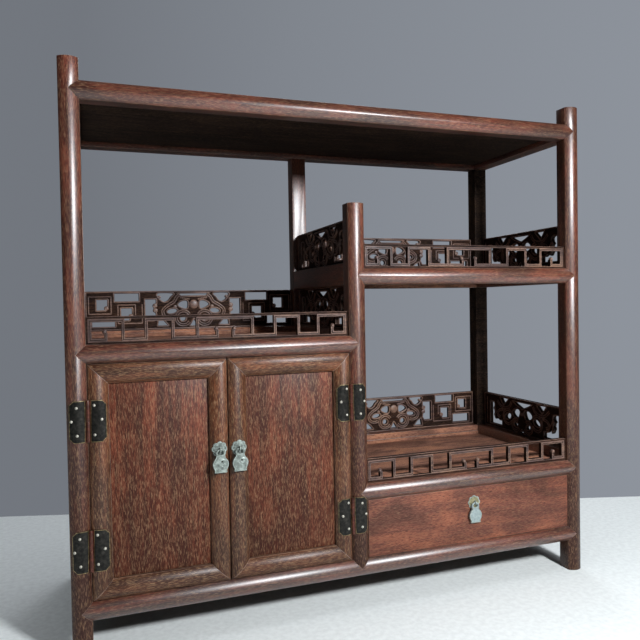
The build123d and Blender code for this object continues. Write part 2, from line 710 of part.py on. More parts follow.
def make_hinges(side, pin_x, post_span, stile_span, post_way):
    """Two bent-leaf hinges: the post's leaf holds the pin, the door's leaf drops on it."""
    door_z0, door_z1 = base_top + door_gap, left_bottom - door_gap
    places = (("lower", door_z0 + lower_hinge_inset), ("upper", door_z1 - upper_hinge_inset))
    for place, z_mid in places:
        z0, z1 = z_mid - hinge_length / 2, z_mid + hinge_length / 2
        post_leaf = hinge_leaf(pin_x, *post_span, post_way, z0, z1, z0, z_mid - knuckle_gap / 2)
        door_leaf = hinge_leaf(pin_x, *stile_span, -post_way, z0, z1, z_mid + knuckle_gap / 2, z1)
        bore = Pos(pin_x, hinge_pin_y, z_mid)
        post_leaf -= bore * Cylinder(pin_radius, hinge_length + 1)
        if side == "right":
            # The leaves on the middle post stop at the pointed shoulders of its rails.
            for level in (lower_bottom, upper_bottom):
                post_leaf -= shoulder(right_middle, middle_post_x, level, level + rail_height)
        door_leaf -= bore * Cylinder(pin_radius + pin_play, hinge_length + 1)
        pieces[f"{side}_{place}_post_leaf"] = post_leaf
        pieces[f"{side}_{place}_door_leaf"] = door_leaf
        pieces[f"{side}_{place}_hinge_pin"] = bore * Cylinder(pin_radius, hinge_length)


def make_doors():
    """Two doors between the left and the middle post, each hung at its outer stile."""
    clear = left_middle - left_inner
    door_width = (clear - 2 * door_gap - meeting_gap) / 2
    left_x0 = left_inner + door_gap
    right_x1 = left_middle - door_gap
    make_door("left", left_x0, left_x0 + door_width)
    make_door("right", right_x1 - door_width, right_x1)
    w = door_frame_width
    make_hinges("left", left_inner + door_gap / 2, (left_edge, left_inner),
                (left_x0, left_x0 + w), -1)
    make_hinges("right", left_middle - door_gap / 2, (left_middle, right_middle),
                (right_x1 - w, right_x1), 1)
    meet = [left_x0 + door_width - w / 2, right_x1 - door_width + w / 2]
    return meet


# ---------------------------------------------------------------- drawer
def make_drawer():
    """A flat-fronted drawer with dovetailed sides, on the floor between two guides."""
    x0, x1 = right_middle + drawer_gap, right_inner - drawer_gap
    z0, z1 = base_top + drawer_gap, lower_bottom - drawer_gap
    y0 = arris
    y1 = y0 + drawer_front_thickness
    y_end = back - back_board_recess - wall_thickness - drawer_back_room
    foot = base_top + drawer_lift
    side_top = foot + drawer_side_height
    t = drawer_side_thickness
    pieces["drawer_front"] = block(x0, x1, y0, y1, z0, z1)
    for side, sx0 in (("left", x0), ("right", x1 - t)):
        pieces[f"drawer_{side}_side"] = block(sx0, sx0 + t, y1, y_end, foot, side_top)
        name = f"drawer_{side}_side"
        for k in (1, 3):
            z_mid = foot + drawer_side_height * k / 4
            half = drawer_side_height / 10
            reach, flare = y1 - dovetail_length, dovetail_flare
            tail = Polyline([(sx0, y1, z_mid - half), (sx0, reach, z_mid - half - flare),
                             (sx0, reach, z_mid + half + flare), (sx0, y1, z_mid + half)],
                            close=True)
            join(name, "drawer_front", extrude(make_face(tail), amount=t, dir=(1, 0, 0)))
    pieces["drawer_back"] = block(x0 + t, x1 - t, y_end - t, y_end, foot + drawer_bottom_lift
                                  + drawer_bottom_thickness, side_top)
    for side, edge, way in (("left", x0 + t, -1), ("right", x1 - t, 1)):
        end = edge + way * t / 2
        join("drawer_back", f"drawer_{side}_side",
             block(min(edge, end), max(edge, end), y_end - t * 0.75, y_end - t * 0.25,
                   foot + drawer_side_height * 0.4, foot + drawer_side_height * 0.7))
    bottom_z0 = foot + drawer_bottom_lift
    groove = t / 2
    bottom = block(x0 + groove, x1 - groove, y1 - groove, y_end, bottom_z0,
                   bottom_z0 + drawer_bottom_thickness)
    for name in ("drawer_front", "drawer_left_side", "drawer_right_side"):
        pieces[name] -= bottom
    pieces["drawer_bottom"] = bottom
    return (x0 + x1) / 2, y0, (z0 + z1) / 2


# ---------------------------------------------------------------- drop pulls
def scalloped_disc(x, z, y0, y1):
    """A disc with a ring of small lobes on its edge, as a prism along Y."""
    points = []
    pitch = 2 * math.pi / plate_lobes
    for lobe in range(plate_lobes):
        for share, radius in ((-0.2, plate_radius), (0.2, plate_radius), (0.5, plate_waist)):
            turn = (lobe + share) * pitch
            points.append((radius * math.sin(turn), radius * math.cos(turn)))
    plane = Plane(origin=(x, y0, z), x_dir=(1, 0, 0), z_dir=(0, -1, 0))
    return extrude(plane * polygon(points), amount=y0 - y1)


def pendant_outline(rim):
    """Neck, round belly with a small hole, waist and flared foot, below a ring hung from 0, 0.

    rim is the ring's outer radius.
    """
    belly_z = neck_overlap - ring_radius - rim - belly_radius
    foot_z = belly_z - belly_height / 2 - waist_length
    neck_z = -ring_radius - rim / 2
    half, waist = foot_width / 2, waist_width / 2
    belly = polygon(oval(0, belly_z, belly_radius, belly_height / 2, count=2 * facets))
    neck = polygon([(-neck_width / 2, neck_z), (neck_width / 2, neck_z),
                    (belly_radius * 0.7, belly_z), (-belly_radius * 0.7, belly_z)])
    waist_z = (foot_z + belly_z - belly_height / 2) / 2
    foot = filled(
        ThreePointArc((-waist, belly_z), (-waist, waist_z), (-half, foot_z)),
        ThreePointArc((-half, foot_z), (0, foot_z - foot_bow), (half, foot_z)),
        ThreePointArc((half, foot_z), (waist, waist_z), (waist, belly_z)),
        Line((waist, belly_z), (-waist, belly_z)),
    )
    return belly + neck + foot - Pos(0, belly_z) * RegularPolygon(belly_hole_radius, facets)


def make_pull(name, x, z, face_y, plate):
    """A plate with its eye, and the cast pendant whose ring hangs in the eye."""
    eye_y = face_y - eye_stand_off
    eye = extrude(RegularPolygon(eye_radius, facets) - Circle(eye_hole_radius),
                  amount=eye_bar / 2, both=True)
    half = eye_bar / 2
    shank = block(x - half, x + half, eye_y + (eye_hole_radius + eye_radius) / 2,
                  face_y - plate_thickness / 2, z - half, z + half)
    pieces[f"{name}_pull_plate"] = plate + Pos(x, eye_y, z) * Rot(0, 90, 0) * eye + shank
    plane = Plane(origin=(x, eye_y, z), x_dir=(1, 0, 0), z_dir=(0, -1, 0))
    rim, bore = ring_radius + ring_bar / 2, ring_radius - ring_bar / 2
    ring = Pos(0, -ring_radius) * (RegularPolygon(rim, facets) - RegularPolygon(bore, facets))
    ring = extrude(plane * ring, amount=ring_bar / 2, both=True)
    body = extrude(plane * pendant_outline(rim), amount=pendant_thickness / 2, both=True)
    pieces[f"{name}_pendant"] = body + ring


def make_pulls(meeting_stiles, drawer_centre):
    """Pulls on both meeting stiles and on the drawer."""
    z = base_top + door_pull_height
    w = door_frame_width
    for name, x in zip(("left", "right"), meeting_stiles):
        bent = shell_over(x - w / 2, x + w / 2, z - w / 2, z + w / 2, plate_thickness)
        make_pull(name, x, z, front, bent & scalloped_disc(x, z, arris, front - 3))
    x, y, z_mid = drawer_centre
    z = z_mid + drawer_pull_rise
    make_pull("drawer", x, z, y, scalloped_disc(x, z, y, y - plate_thickness))


# ---------------------------------------------------------------- nodes
def door_nodes(side):
    """The nodes of one door and its hinges."""
    frame = [f"{side}_door_{key}" for key in ("left_stile", "right_stile", "top_rail", "bottom_rail")]
    return {
        f"{side}_door_frame": frame,
        f"{side}_hinge_post_leaves": [f"{side}_lower_post_leaf", f"{side}_upper_post_leaf"],
        f"{side}_hinge_door_leaves": [f"{side}_lower_door_leaf", f"{side}_upper_door_leaf"],
    }


def node_table():
    """Which pieces share a file: all the others have one each."""
    shared = {
        "top_side_rails": ["top_left_rail", "top_right_rail"],
        "base_cross_rails": ["base_left_rail", "base_middle_rail", "base_right_rail"],
        "left_shelf_side_rails": ["left_shelf_left_rail", "left_shelf_right_rail"],
        "upper_shelf_side_rails": ["upper_shelf_left_rail", "upper_shelf_right_rail"],
        "case_floors": ["cupboard_floor", "drawer_floor"],
        "side_walls": ["cupboard_side_wall", "drawer_side_wall"],
        "back_boards": ["cupboard_back_board", "drawer_back_board"],
        "drawer_guides": ["left_drawer_guide", "right_drawer_guide"],
        "drawer_box": ["drawer_left_side", "drawer_right_side", "drawer_back"],
        "hinge_pins": [f"{side}_{place}_hinge_pin" for side in ("left", "right")
                       for place in ("lower", "upper")],
        **door_nodes("left"),
        **door_nodes("right"),
    }
    taken = {name for members in shared.values() for name in members}
    table = {name: [name] for name in pieces if name not in taken}
    table.update(shared)
    return table


def main():
    """Builds every piece and writes one file for each node."""
    make_posts()
    make_rails()
    make_boards()
    make_walls()
    make_galleries()
    meeting_stiles = make_doors()
    drawer_centre = make_drawer()
    make_pulls(meeting_stiles, drawer_centre)
    os.makedirs("parts", exist_ok=True)
    for node, members in node_table().items():
        solids = [solid for name in members for solid in pieces[name].solids()]
        shape = solids[0] if len(solids) == 1 else Compound(children=solids)
        export_step(shape, f"parts/{node}.step")


main()
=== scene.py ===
import json
import math
from functools import cache

import bmesh
import bpy
from mathutils import Matrix, Vector

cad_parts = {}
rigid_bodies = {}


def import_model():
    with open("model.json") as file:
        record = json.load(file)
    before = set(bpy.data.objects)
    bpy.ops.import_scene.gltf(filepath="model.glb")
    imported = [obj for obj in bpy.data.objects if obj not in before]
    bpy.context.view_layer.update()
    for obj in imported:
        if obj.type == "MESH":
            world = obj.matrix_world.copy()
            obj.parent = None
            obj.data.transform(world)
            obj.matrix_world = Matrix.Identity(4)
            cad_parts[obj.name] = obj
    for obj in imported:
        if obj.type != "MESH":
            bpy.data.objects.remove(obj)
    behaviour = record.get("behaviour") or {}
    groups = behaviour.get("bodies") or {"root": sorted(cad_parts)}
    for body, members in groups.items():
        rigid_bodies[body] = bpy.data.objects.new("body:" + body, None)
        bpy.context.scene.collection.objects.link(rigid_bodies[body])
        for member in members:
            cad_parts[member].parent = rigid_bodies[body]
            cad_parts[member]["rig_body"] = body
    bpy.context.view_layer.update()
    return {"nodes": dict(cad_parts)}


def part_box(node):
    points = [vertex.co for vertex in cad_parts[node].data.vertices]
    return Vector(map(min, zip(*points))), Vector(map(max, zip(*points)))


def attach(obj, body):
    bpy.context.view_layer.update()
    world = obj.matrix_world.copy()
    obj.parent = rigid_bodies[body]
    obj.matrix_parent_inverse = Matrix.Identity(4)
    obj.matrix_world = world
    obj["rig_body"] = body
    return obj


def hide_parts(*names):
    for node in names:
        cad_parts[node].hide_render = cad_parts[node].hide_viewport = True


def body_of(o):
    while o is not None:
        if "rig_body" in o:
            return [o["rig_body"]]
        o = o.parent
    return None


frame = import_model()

bl_info = {
    "name": "Rosewood display cabinet",
    "version": (1, 0, 0),
    "blender": (4, 5, 0),
    "location": "3D View > Sidebar > Cabinet",
    "description": "Woods, fretwork, brass and stage for the display cabinet's frame",
    "category": "Object",
}

MM = 0.001

# ---- colours and nodes


def linear(colour):
    """An sRGB colour such as #8a5a44 as linear RGBA."""
    channels = [int(colour[i:i + 2], 16) / 255 for i in (1, 3, 5)]
    return tuple(c / 12.92 if c <= 0.04045 else ((c + 0.055) / 1.055) ** 2.4 for c in channels) + (1.0,)


def tone(colour, light, grey=0.0, warm=0.0):
    """A linear colour made lighter or darker, then warmer, then greyed."""
    red, green, blue = (channel * light for channel in colour[:3])
    green *= 1 - 0.08 * warm
    blue *= 1 - 0.3 * warm
    mean = (red + green + blue) / 3
    return tuple(channel + (mean - channel) * grey for channel in (red, green, blue)) + (1.0,)


def add_node(tree, kind, inputs=None, **settings):
    """Adds a node: inputs are values or sockets to link, settings are its own properties."""
    node = tree.nodes.new(kind)
    for name, value in settings.items():
        setattr(node, name, value)
    for name, value in (inputs or {}).items():
        if isinstance(value, bpy.types.NodeSocket):
            tree.links.new(value, node.inputs[name])
        else:
            node.inputs[name].default_value = value
    return node


def new_material(name):
    """A cleared node material: itself, its tree and its Object coordinates."""
    material = bpy.data.materials.new(name)
    material.use_nodes = True
    tree = material.node_tree
    tree.nodes.clear()
    return material, tree, add_node(tree, "ShaderNodeTexCoord").outputs["Object"]


def ramped(tree, value, *stops):
    """A value turned into colour by a ramp of (place, linear colour) stops."""
    node = add_node(tree, "ShaderNodeValToRGB", {"Fac": value})
    elements = node.color_ramp.elements
    while len(elements) < len(stops):
        elements.new(1.0)
    for element, (place, paint) in zip(elements, stops):
        element.position = place
        element.color = paint
    return node.outputs["Color"]


def even_noise(tree, place, cell, detail):
    """Noise whose cells are about cell mm across."""
    noise = add_node(tree, "ShaderNodeTexNoise", {
        "Vector": place, "Scale": 1 / (cell * MM), "Detail": detail})
    return noise.outputs["Fac"]


def end_material(tree, paint, height, strength, depth, values):
    """Ends a material: a shader with a colour, relief of about depth mm and plain values."""
    relief = add_node(tree, "ShaderNodeBump", {
        "Height": height, "Strength": strength, "Distance": depth * MM})
    shader = add_node(tree, "ShaderNodeBsdfPrincipled", {
        "Base Color": paint, "Normal": relief.outputs["Normal"], **values})
    add_node(tree, "ShaderNodeOutputMaterial", {"Surface": shader.outputs["BSDF"]})
    return shader


# ---- what a user may change


def length(name, description, millimetres):
    """A size property in metres, its default given in mm."""
    return bpy.props.FloatProperty(name=name, description=description, default=millimetres * MM,
                                   min=0.0, unit="LENGTH")


def colour(name, description, default):
    """A colour property, its default given as an sRGB colour."""
    return bpy.props.FloatVectorProperty(name=name, description=description, subtype="COLOR", size=4,
                                         min=0.0, max=1.0, default=linear(default))


class CABINET_PG_sizes(bpy.types.PropertyGroup):
    """Sizes of the small forms that dress the frame"""

    edge_ease: length("Edge rounding", "Rounding of the wood's sharp edges", 0.35)
    bead_radius: length("Bead radius", "Raised lines of the carved galleries", 1.0)
    curl_radius: length("Curl radius", "Curled ends of the fret's hooks", 2.3)
    nail_radius: length("Nail radius", "Heads of the hinge nails", 1.45)
    leaf_rim: length("Leaf rim", "Bright rubbed edge of the hinge leaves", 0.55)
    pendant_rim: length("Pendant rim", "Raised rim round the pulls' pendants", 0.6)
    floor_radius: length("Floor radius", "Reach of the pale floor", 3000.0)


class CABINET_PG_colours(bpy.types.PropertyGroup):
    """Main colours of the woods, metals and stage"""

    frame_wood: colour("Frame wood", "Faces of posts and rails", "#542417")
    door_wood: colour("Door wood", "Moulded frames of the doors", "#5a3019")
    panel_wood: colour("Panel wood", "Faces of the two door panels", "#612c1a")
    drawer_wood: colour("Drawer wood", "Face of the drawer", "#6f3f31")
    # Painted shade: the carved ground is near black, as the shade in the carving's hollows.
    gallery_wood: colour("Gallery wood", "Carved ground of the galleries", "#24140f")
    worn_wood: colour("Worn wood", "Edges rubbed through the wax", "#7f675d")
    worn_gallery: colour("Worn gallery", "Raised lines of the galleries", "#6d5650")
    # Paler dust colour, also a painted sheen on the shelves and the back rails' front faces.
    shelf_wood_dust_sheen: colour("Shelf wood", "Upper faces of the shelf boards", "#8c6152")
    # Also the painted shade on the boards' undersides and the back right post's inner faces.
    pore_fill: colour("Filled pores", "Pale dust and wax in the open grain", "#a08060")
    inner_and_shaded_wood: colour("Inner wood", "Undersides and insides that hands never reach", "#241a17")
    brass: colour("Brass", "Patina of the hinge leaves", "#211f1b")
    worn_brass: colour("Worn brass", "Rubbed edges of the hinges", "#7d6e4d")
    nail_metal: colour("Nails", "Heads of the hinge nails", "#b5b1a4")
    pull_metal: colour("Door pulls", "Grey metal of the door pulls", "#7d8680")
    drawer_pull: colour("Drawer pull plate", "Yellower metal of the drawer's plate", "#8d8868")
    drawer_drop: colour("Drawer pendant", "Blue grey metal of the drawer's pendant", "#93a0a0")
    cloth: colour("Floor", "Pale cloth under the cabinet", "#eff4f2")
    wall: colour("Backdrop", "Grey behind the cabinet", "#80858d")


def sizes():
    """The sizes that this scene is built with."""
    return bpy.context.scene.cabinet_sizes


def colours():
    """The colours that this scene is built with."""
    return bpy.context.scene.cabinet_colours


# ---- materials

# Noise cells in mm, across and along the grain.
PORE = (0.42, 4.5)         # drawn coarser than the real 0.2 mm
STREAK = (1.8, 42.0)       # dark veins
FIGURE = (8.0, 95.0)       # growth bands
CLOUDING = (30.0, 65.0)    # slow change of tone, from wax and handling
FOOT_TOP, FOOT_LOW = 0.32, 0.07     # metres up: the painted shade starts here, and is full here
DEEP_FOOT_SHADE = 0.5                # wood shaded more than this at its foot also loses its wax towards the floor
FOOT_WAX = 0.14            # metres up: below this the more shaded wood has lost most of it
WAX_KEPT = 0.15            # share of the wax that is left there
WAX_ROUGHNESS = 0.37       # rubbed by hand: a wide, soft shine
WAX_IOR = 1.7              # a stronger shine than plain wax gives, from years of rubbing
WAXED_SPECULAR, DRY_SPECULAR = 0.2, 0.1     # open grain mirrors less than the shader's 0.5
PATCH = 3.0                # mm: patches of a metal's patina
MIX_FACTOR, MIX_A, MIX_B, MIX_RESULT = 0, 6, 7, 2     # the Mix node's sockets for colours


def grain_noise(tree, place, axis, cell, detail, distortion):
    """Noise stretched along the grain, its cells across x along mm."""
    across, along = cell
    scale = [1 / (across * MM)] * 3
    scale["XYZ".index(axis)] = 1 / (along * MM)
    stretched = add_node(tree, "ShaderNodeMapping", {"Vector": place, "Scale": scale})
    noise = add_node(tree, "ShaderNodeTexNoise", {
        "Vector": stretched.outputs["Vector"], "Scale": 1.0, "Detail": detail,
        "Distortion": distortion})
    return noise.outputs["Fac"]


def layered(tree, below, factor, over):
    """One colour laid over another by a factor."""
    mix = add_node(tree, "ShaderNodeMix", {MIX_FACTOR: factor, MIX_A: below, MIX_B: over},
                   data_type="RGBA")
    return mix.outputs[MIX_RESULT]


def ranged(tree, value, low, high, least, most):
    """A value mapped from low..high to least..most."""
    mapped = add_node(tree, "ShaderNodeMapRange", {
        "Value": value, "From Min": low, "From Max": high, "To Min": least, "To Max": most})
    return mapped.outputs["Result"]


def wood(name, axis, face, roughness, wax, pale, foot=0.0, figured=1.0):
    """Hardwood with its grain along axis, every tone taken from its face colour.

    wax is the weight of its coat, pale how much of the filled pores' colour shows, foot how far
    a painted shade darkens it towards the floor, where the light falls off, and figured how
    strong the growth bands are.
    """
    material, tree, place = new_material(f"{name}_{axis.lower()}")
    figure = grain_noise(tree, place, axis, FIGURE, detail=5, distortion=0.9)
    cloud = grain_noise(tree, place, axis, CLOUDING, detail=4, distortion=0.8)
    streak = grain_noise(tree, place, axis, STREAK, detail=3, distortion=0.6)
    pore = grain_noise(tree, place, axis, PORE, detail=2, distortion=0.3)
    height = add_node(tree, "ShaderNodeSeparateXYZ", {"Vector": place}).outputs["Z"]
    paint = ramped(tree, figure, (0.36, tone(face, 1 - 0.6 * figured, warm=-0.2)),
                   (0.5, tone(face, 1.0)),
                   (0.63, tone(face, 1 + 0.8 * figured, grey=0.1, warm=0.9)))
    # Each layer: its pattern, where it starts and is full, how much it covers, and its colour.
    layers = (
        (cloud, 0.5, 0.68, 0.8, tone(face, 0.38, warm=-0.3)),             # dark clouds
        (cloud, 0.47, 0.32, 0.7, tone(face, 1.9, grey=0.1, warm=1.2)),    # pale, warm clouds
        (height, FOOT_TOP, FOOT_LOW, foot, tone(face, 0.3, warm=0.2)),    # painted shade: darker towards the floor, where the light falls off
        (streak, 0.48, 0.34, 0.75 * figured, tone(face, 0.28)),           # dark veins
        (pore, 0.46, 0.37, 0.85, tone(face, 0.25)),                       # open pores
        (pore, 0.54, 0.64, pale, colours().pore_fill),                    # filled pores
    )
    for pattern, low, high, most, over in layers:
        if most:
            paint = layered(tree, paint, ranged(tree, pattern, low, high, 0.0, most), over)
    shader = end_material(tree, paint, pore, strength=0.45, depth=0.15, values={
        "Roughness": roughness, "Specular IOR Level": WAXED_SPECULAR if wax else DRY_SPECULAR,
        "Coat Weight": wax, "Coat Roughness": WAX_ROUGHNESS, "Coat IOR": WAX_IOR})
    if foot > DEEP_FOOT_SHADE:
        kept = ranged(tree, height, FOOT_WAX, FOOT_TOP, WAX_KEPT * wax, wax)
        tree.links.new(kept, shader.inputs["Coat Weight"])
    return material


def frame_rosewood(axis):
    """Waxed rosewood, planed and handled: red brown with dark veins, and a soft wax shine."""
    return wood("waxed_rosewood", axis, colours().frame_wood, roughness=0.45, wax=1.0, pale=0.45,
                foot=0.95 if axis == "Z" else 0.15)


def door_rosewood(axis):
    """Rosewood of the door frames, browner than the posts and worn duller by hands."""
    return wood("handled_rosewood", axis, colours().door_wood, roughness=0.5, wax=0.25, pale=0.55,
                foot=0.5)


def panel_rosewood(axis):
    """Oiled rosewood of the door panels: browner and flatter, with pale filled pores."""
    return wood("oiled_panel_rosewood", axis, colours().panel_wood, roughness=0.6, wax=0.1,
                pale=0.45, foot=0.7)


def drawer_rosewood(axis):
    """The drawer front's redder, rubbed rosewood."""
    return wood("rubbed_drawer_rosewood", axis, colours().drawer_wood, roughness=0.6, wax=0.1,
                pale=0.25, figured=0.4)


def gallery_rosewood(axis):
    """Carved rosewood of the galleries, its ground painted near black as the shade in its hollows."""
    return wood("carved_rosewood", axis, colours().gallery_wood, roughness=0.7, wax=0.0, pale=0.1)


def unwaxed_and_shaded_rosewood(axis):
    """Undersides and insides: dry and dull, since no wax or hand reaches them. Their dark colour is the
    insides' own, and painted shade on the boards' undersides and the back right post's inner faces.
    """
    return wood("unwaxed_and_shaded_rosewood", axis, colours().inner_and_shaded_wood, roughness=0.75, wax=0.0, pale=0.15)


def dust_and_sheen_rosewood(axis):
    """Upper faces of the shelves: greyed and dulled by the things that stood there. The paler colour is
    also a painted sheen, there and on the back rails' front faces.
    """
    return wood("dust_and_sheen_rosewood", axis, colours().shelf_wood_dust_sheen, roughness=0.85, wax=0.0, pale=0.4,
                figured=0.6)


def worn_rosewood():
    """Edges rubbed through the wax: greyer and paler than the faces."""
    return wood("worn_edge_rosewood", "X", colours().worn_wood, roughness=0.45, wax=0.4,
                pale=0.15, figured=0.6)


def worn_gallery_rosewood():
    """Crests of the carving, greyed by dust and rubbed smooth."""
    return wood("worn_carved_rosewood", "X", colours().worn_gallery, roughness=0.45, wax=0.3,
                pale=0.08, figured=0.8)


def metal(name, face, roughness, metallic, contrast):
    """Old cast or sheet metal: patina in patches, rubbed brighter in places."""
    material, tree, place = new_material(name)
    patches = even_noise(tree, place, PATCH, detail=5)
    paint = ramped(tree, patches, (0.34, tone(face, 1 - 0.6 * contrast)), (0.52, tone(face, 1.0)),
                   (0.72, tone(face, 1 + contrast, grey=0.1)))
    end_material(tree, paint, patches, strength=0.35, depth=0.25, values={
        "Roughness": roughness, "Metallic": metallic})
    return material


def aged_brass():
    """Sheet brass under a near black patina, dull with a faint sheen where hands rub it."""
    return metal("aged_sheet_brass", colours().brass, roughness=0.4, metallic=0.6, contrast=1.3)


def worn_brass():
    """Edges of the sheet brass, rubbed back to yellow metal."""
    return metal("rubbed_brass_edge", colours().worn_brass, roughness=0.38, metallic=0.6,
                 contrast=1.0)


def knuckle_brass():
    """The rolled knuckles: brown, half rubbed by the doors' turning."""
    return metal("turned_brass_knuckle", tone(colours().frame_wood, 0.8, warm=-0.3), roughness=0.4,
                 metallic=0.3, contrast=0.9)


def nail_brass():
    """Domed nail heads, pale from polishing."""
    return metal("polished_nail_head", colours().nail_metal, roughness=0.4, metallic=0.4,
                 contrast=0.25)


def door_pull_paktong():
    """Cast paktong, a grey nickel brass, with a green grey bloom."""
    return metal("cast_paktong", colours().pull_metal, roughness=0.5, metallic=0.35, contrast=0.8)


def drawer_plate_paktong():
    """The drawer's plate, whose paktong holds more copper and looks yellower."""
    return metal("yellow_paktong", colours().drawer_pull, roughness=0.5, metallic=0.35,
                 contrast=0.5)


def drawer_pendant_paktong():
    """The drawer's pendant, rubbed smooth to a blue grey."""
    return metal("smooth_paktong", colours().drawer_drop, roughness=0.45, metallic=0.35,
                 contrast=0.25)


def rubbed_paktong():
    """Rims of the pulls, rubbed bright."""
    return metal("rubbed_paktong_rim", tone(colours().pull_metal, 1.55), roughness=0.4,
                 metallic=0.35, contrast=0.3)


ALONG_X, ALONG_Y, ALONG_Z, WORN, DETAIL, DUST_SHEEN = range(6)     # the places in a finish


@cache
def finishes():
    """Each finish: grain along X, Y and Z, worn edges, then faces out of sight, painted as shade, or
    detailed, then faces of dust and painted sheen.
    """
    worn, hidden_and_shade_finish, dusty_sheen_finish = worn_rosewood(), unwaxed_and_shaded_rosewood("X"), dust_and_sheen_rosewood("X")
    rim = rubbed_paktong()
    made = {"nails": [nail_brass()]}
    for name, make, edge in (
            ("rosewood", frame_rosewood, worn), ("door frame", door_rosewood, worn),
            ("panel_wood", panel_rosewood, worn), ("drawer_wood", drawer_rosewood, worn),
            ("gallery_wood", gallery_rosewood, worn_gallery_rosewood())):
        made[name] = [make("X"), make("Y"), make("Z"), edge, hidden_and_shade_finish, dusty_sheen_finish]
    for name, face, edge, detail in (
            ("hinge_brass", aged_brass(), worn_brass(), knuckle_brass()),
            ("pull_metal", door_pull_paktong(), rim, rim),
            ("drawer_pull_metal", drawer_plate_paktong(), rim, drawer_pendant_paktong())):
        made[name] = [face, face, face, edge, detail]
    return made


# ---- meshes

FACING = 0.9               # least part of a face's normal that counts as facing that way
JOINERY_SLOTS = {"left_door_panel": "panel_wood", "right_door_panel": "panel_wood",
                 "drawer_front": "drawer_wood"}
UNWAXED_NODES = ("back_boards", "case_floors", "drawer_bottom", "drawer_box", "drawer_guides",
                 "divider_wall", "lower_shelf_ledger", "base_cross_rails")


def box_of(node):
    """Lowest and highest corner of a CAD node in mm."""
    return [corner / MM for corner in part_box(node)]


def new_object(name, data):
    """An object at the origin."""
    made = bpy.data.objects.new(name, data)
    bpy.context.scene.collection.objects.link(made)
    return made


def plain(source):
    """Turns an object's modifiers into a plain mesh and removes them."""
    bpy.context.view_layer.update()
    evaluated = source.evaluated_get(bpy.context.evaluated_depsgraph_get())
    mesh = bpy.data.meshes.new_from_object(evaluated)
    source.modifiers.clear()
    source.data = mesh
    return source


def solid_object(solid, name):
    """An object at the origin that shows a bmesh."""
    mesh = bpy.data.meshes.new(name)
    solid.to_mesh(mesh)
    solid.free()
    return new_object(name, mesh)


def put(solid, point, place=Matrix()):
    """A vertex at a point in mm, moved by place."""
    return solid.verts.new(place @ (Vector(point) * MM))


def turns(count):
    """Angles that part a circle evenly."""
    return [2 * math.pi * k / count for k in range(count)]


def tube(solid, rings, index, closed=False):
    """Faces along a row of rings, capped at its ends or closed on itself.

    The first ring may be a single vertex, and index may be a list with a material for each side.
    """
    sides = []
    for near, far in zip(rings, rings[1:] + (rings[:1] if closed else [])):
        for k, corner in enumerate(far):
            n = (k + 1) % len(far)
            side = solid.faces.new((near[0], corner, far[n]) if len(near) == 1 else
                                   (near[k], corner, far[n], near[n]))
            side.material_index = index[k] if isinstance(index, list) else index
            sides.append(side)
    if not closed:
        for ring in (rings[0], rings[-1]):
            if len(ring) > 1:
                solid.faces.new(ring).material_index = sides[0].material_index
    return sides


def settle(made, node, instead=True):
    """Puts a finished object on a CAD node's body, and in the node's place if instead."""
    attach(made, body_of(frame["nodes"][node])[0])
    if instead:
        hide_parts(node)


def outward(solid):
    """Turns a bmesh's faces outwards and gives it back."""
    bmesh.ops.recalc_face_normals(solid, faces=solid.faces)
    return solid


def finish_mesh(solid, node, suffix, slot, instead=True, ease=0.0, angle=32, finish=None):
    """Makes a finished piece of a bmesh: eased edges, materials, smooth faces and its place."""
    made = solid_object(solid, f"{node}_{suffix}")
    for material in finishes()[finish or slot]:
        made.data.materials.append(material)
    if ease:
        bevel = made.modifiers.new("eased edges", "BEVEL")
        bevel.width = ease
        bevel.segments = 2
        bevel.limit_method = "ANGLE"
        bevel.angle_limit = math.radians(angle)
        bevel.material = WORN
    mesh = plain(made).data
    mesh.polygons.foreach_set("use_smooth", [True] * len(mesh.polygons))
    mesh.set_sharp_from_angle(angle=math.radians(angle))
    settle(made, node, instead)


# ---- joinery


def cleaned_copy(node):
    """A bmesh of a CAD node with its loose triangles merged into whole faces."""
    solid = bmesh.new()
    solid.from_mesh(frame["nodes"][node].data)
    bmesh.ops.remove_doubles(solid, verts=solid.verts, dist=0.01 * MM)
    bmesh.ops.dissolve_limit(solid, angle_limit=math.radians(1), verts=solid.verts, edges=solid.edges)
    for face in solid.faces:
        face.material_index = ALONG_X
    return solid


def grain_faces(solid):
    """Gives each loose solid's faces the material of the axis along which it is longest."""
    unseen = set(solid.faces)
    while unseen:
        island = [unseen.pop()]
        for face in island:
            for edge in face.edges:
                for other in unseen.intersection(edge.link_faces):
                    unseen.remove(other)
                    island.append(other)
        corners = [v.co for face in island for v in face.verts]
        spans = [max(c[i] for c in corners) - min(c[i] for c in corners) for i in range(3)]
        for face in island:
            face.material_index = spans.index(max(spans))


def own_finish(node, normal):
    """The finish of a joinery face that is out of sight, painted as shade, or shows dust and painted
    sheen; None where its grain shows.
    """
    # Painted shade: the back right post's inner faces and the boards' undersides are made dark.
    shaded = node == "back_right_post" and min(normal.x, normal.y) < -FACING
    if node in UNWAXED_NODES or shaded or (node.endswith("board") and normal.z < -FACING):
        return DETAIL
    # Dust and painted sheen: the shelves' upper faces and the back rails' front faces are painted paler.
    painted_sheen_on_dust = (node.endswith("shelf_board") and normal.z > FACING
             or node.endswith("shelf_back_rail") and normal.y < -FACING)
    return DUST_SHEEN if painted_sheen_on_dust else None


# Nodes with these endings are made by other operators.
OTHER_ENDINGS = ("door_frame", "leaves", "plate", "pendant", "gallery", "shelf_right_panel")


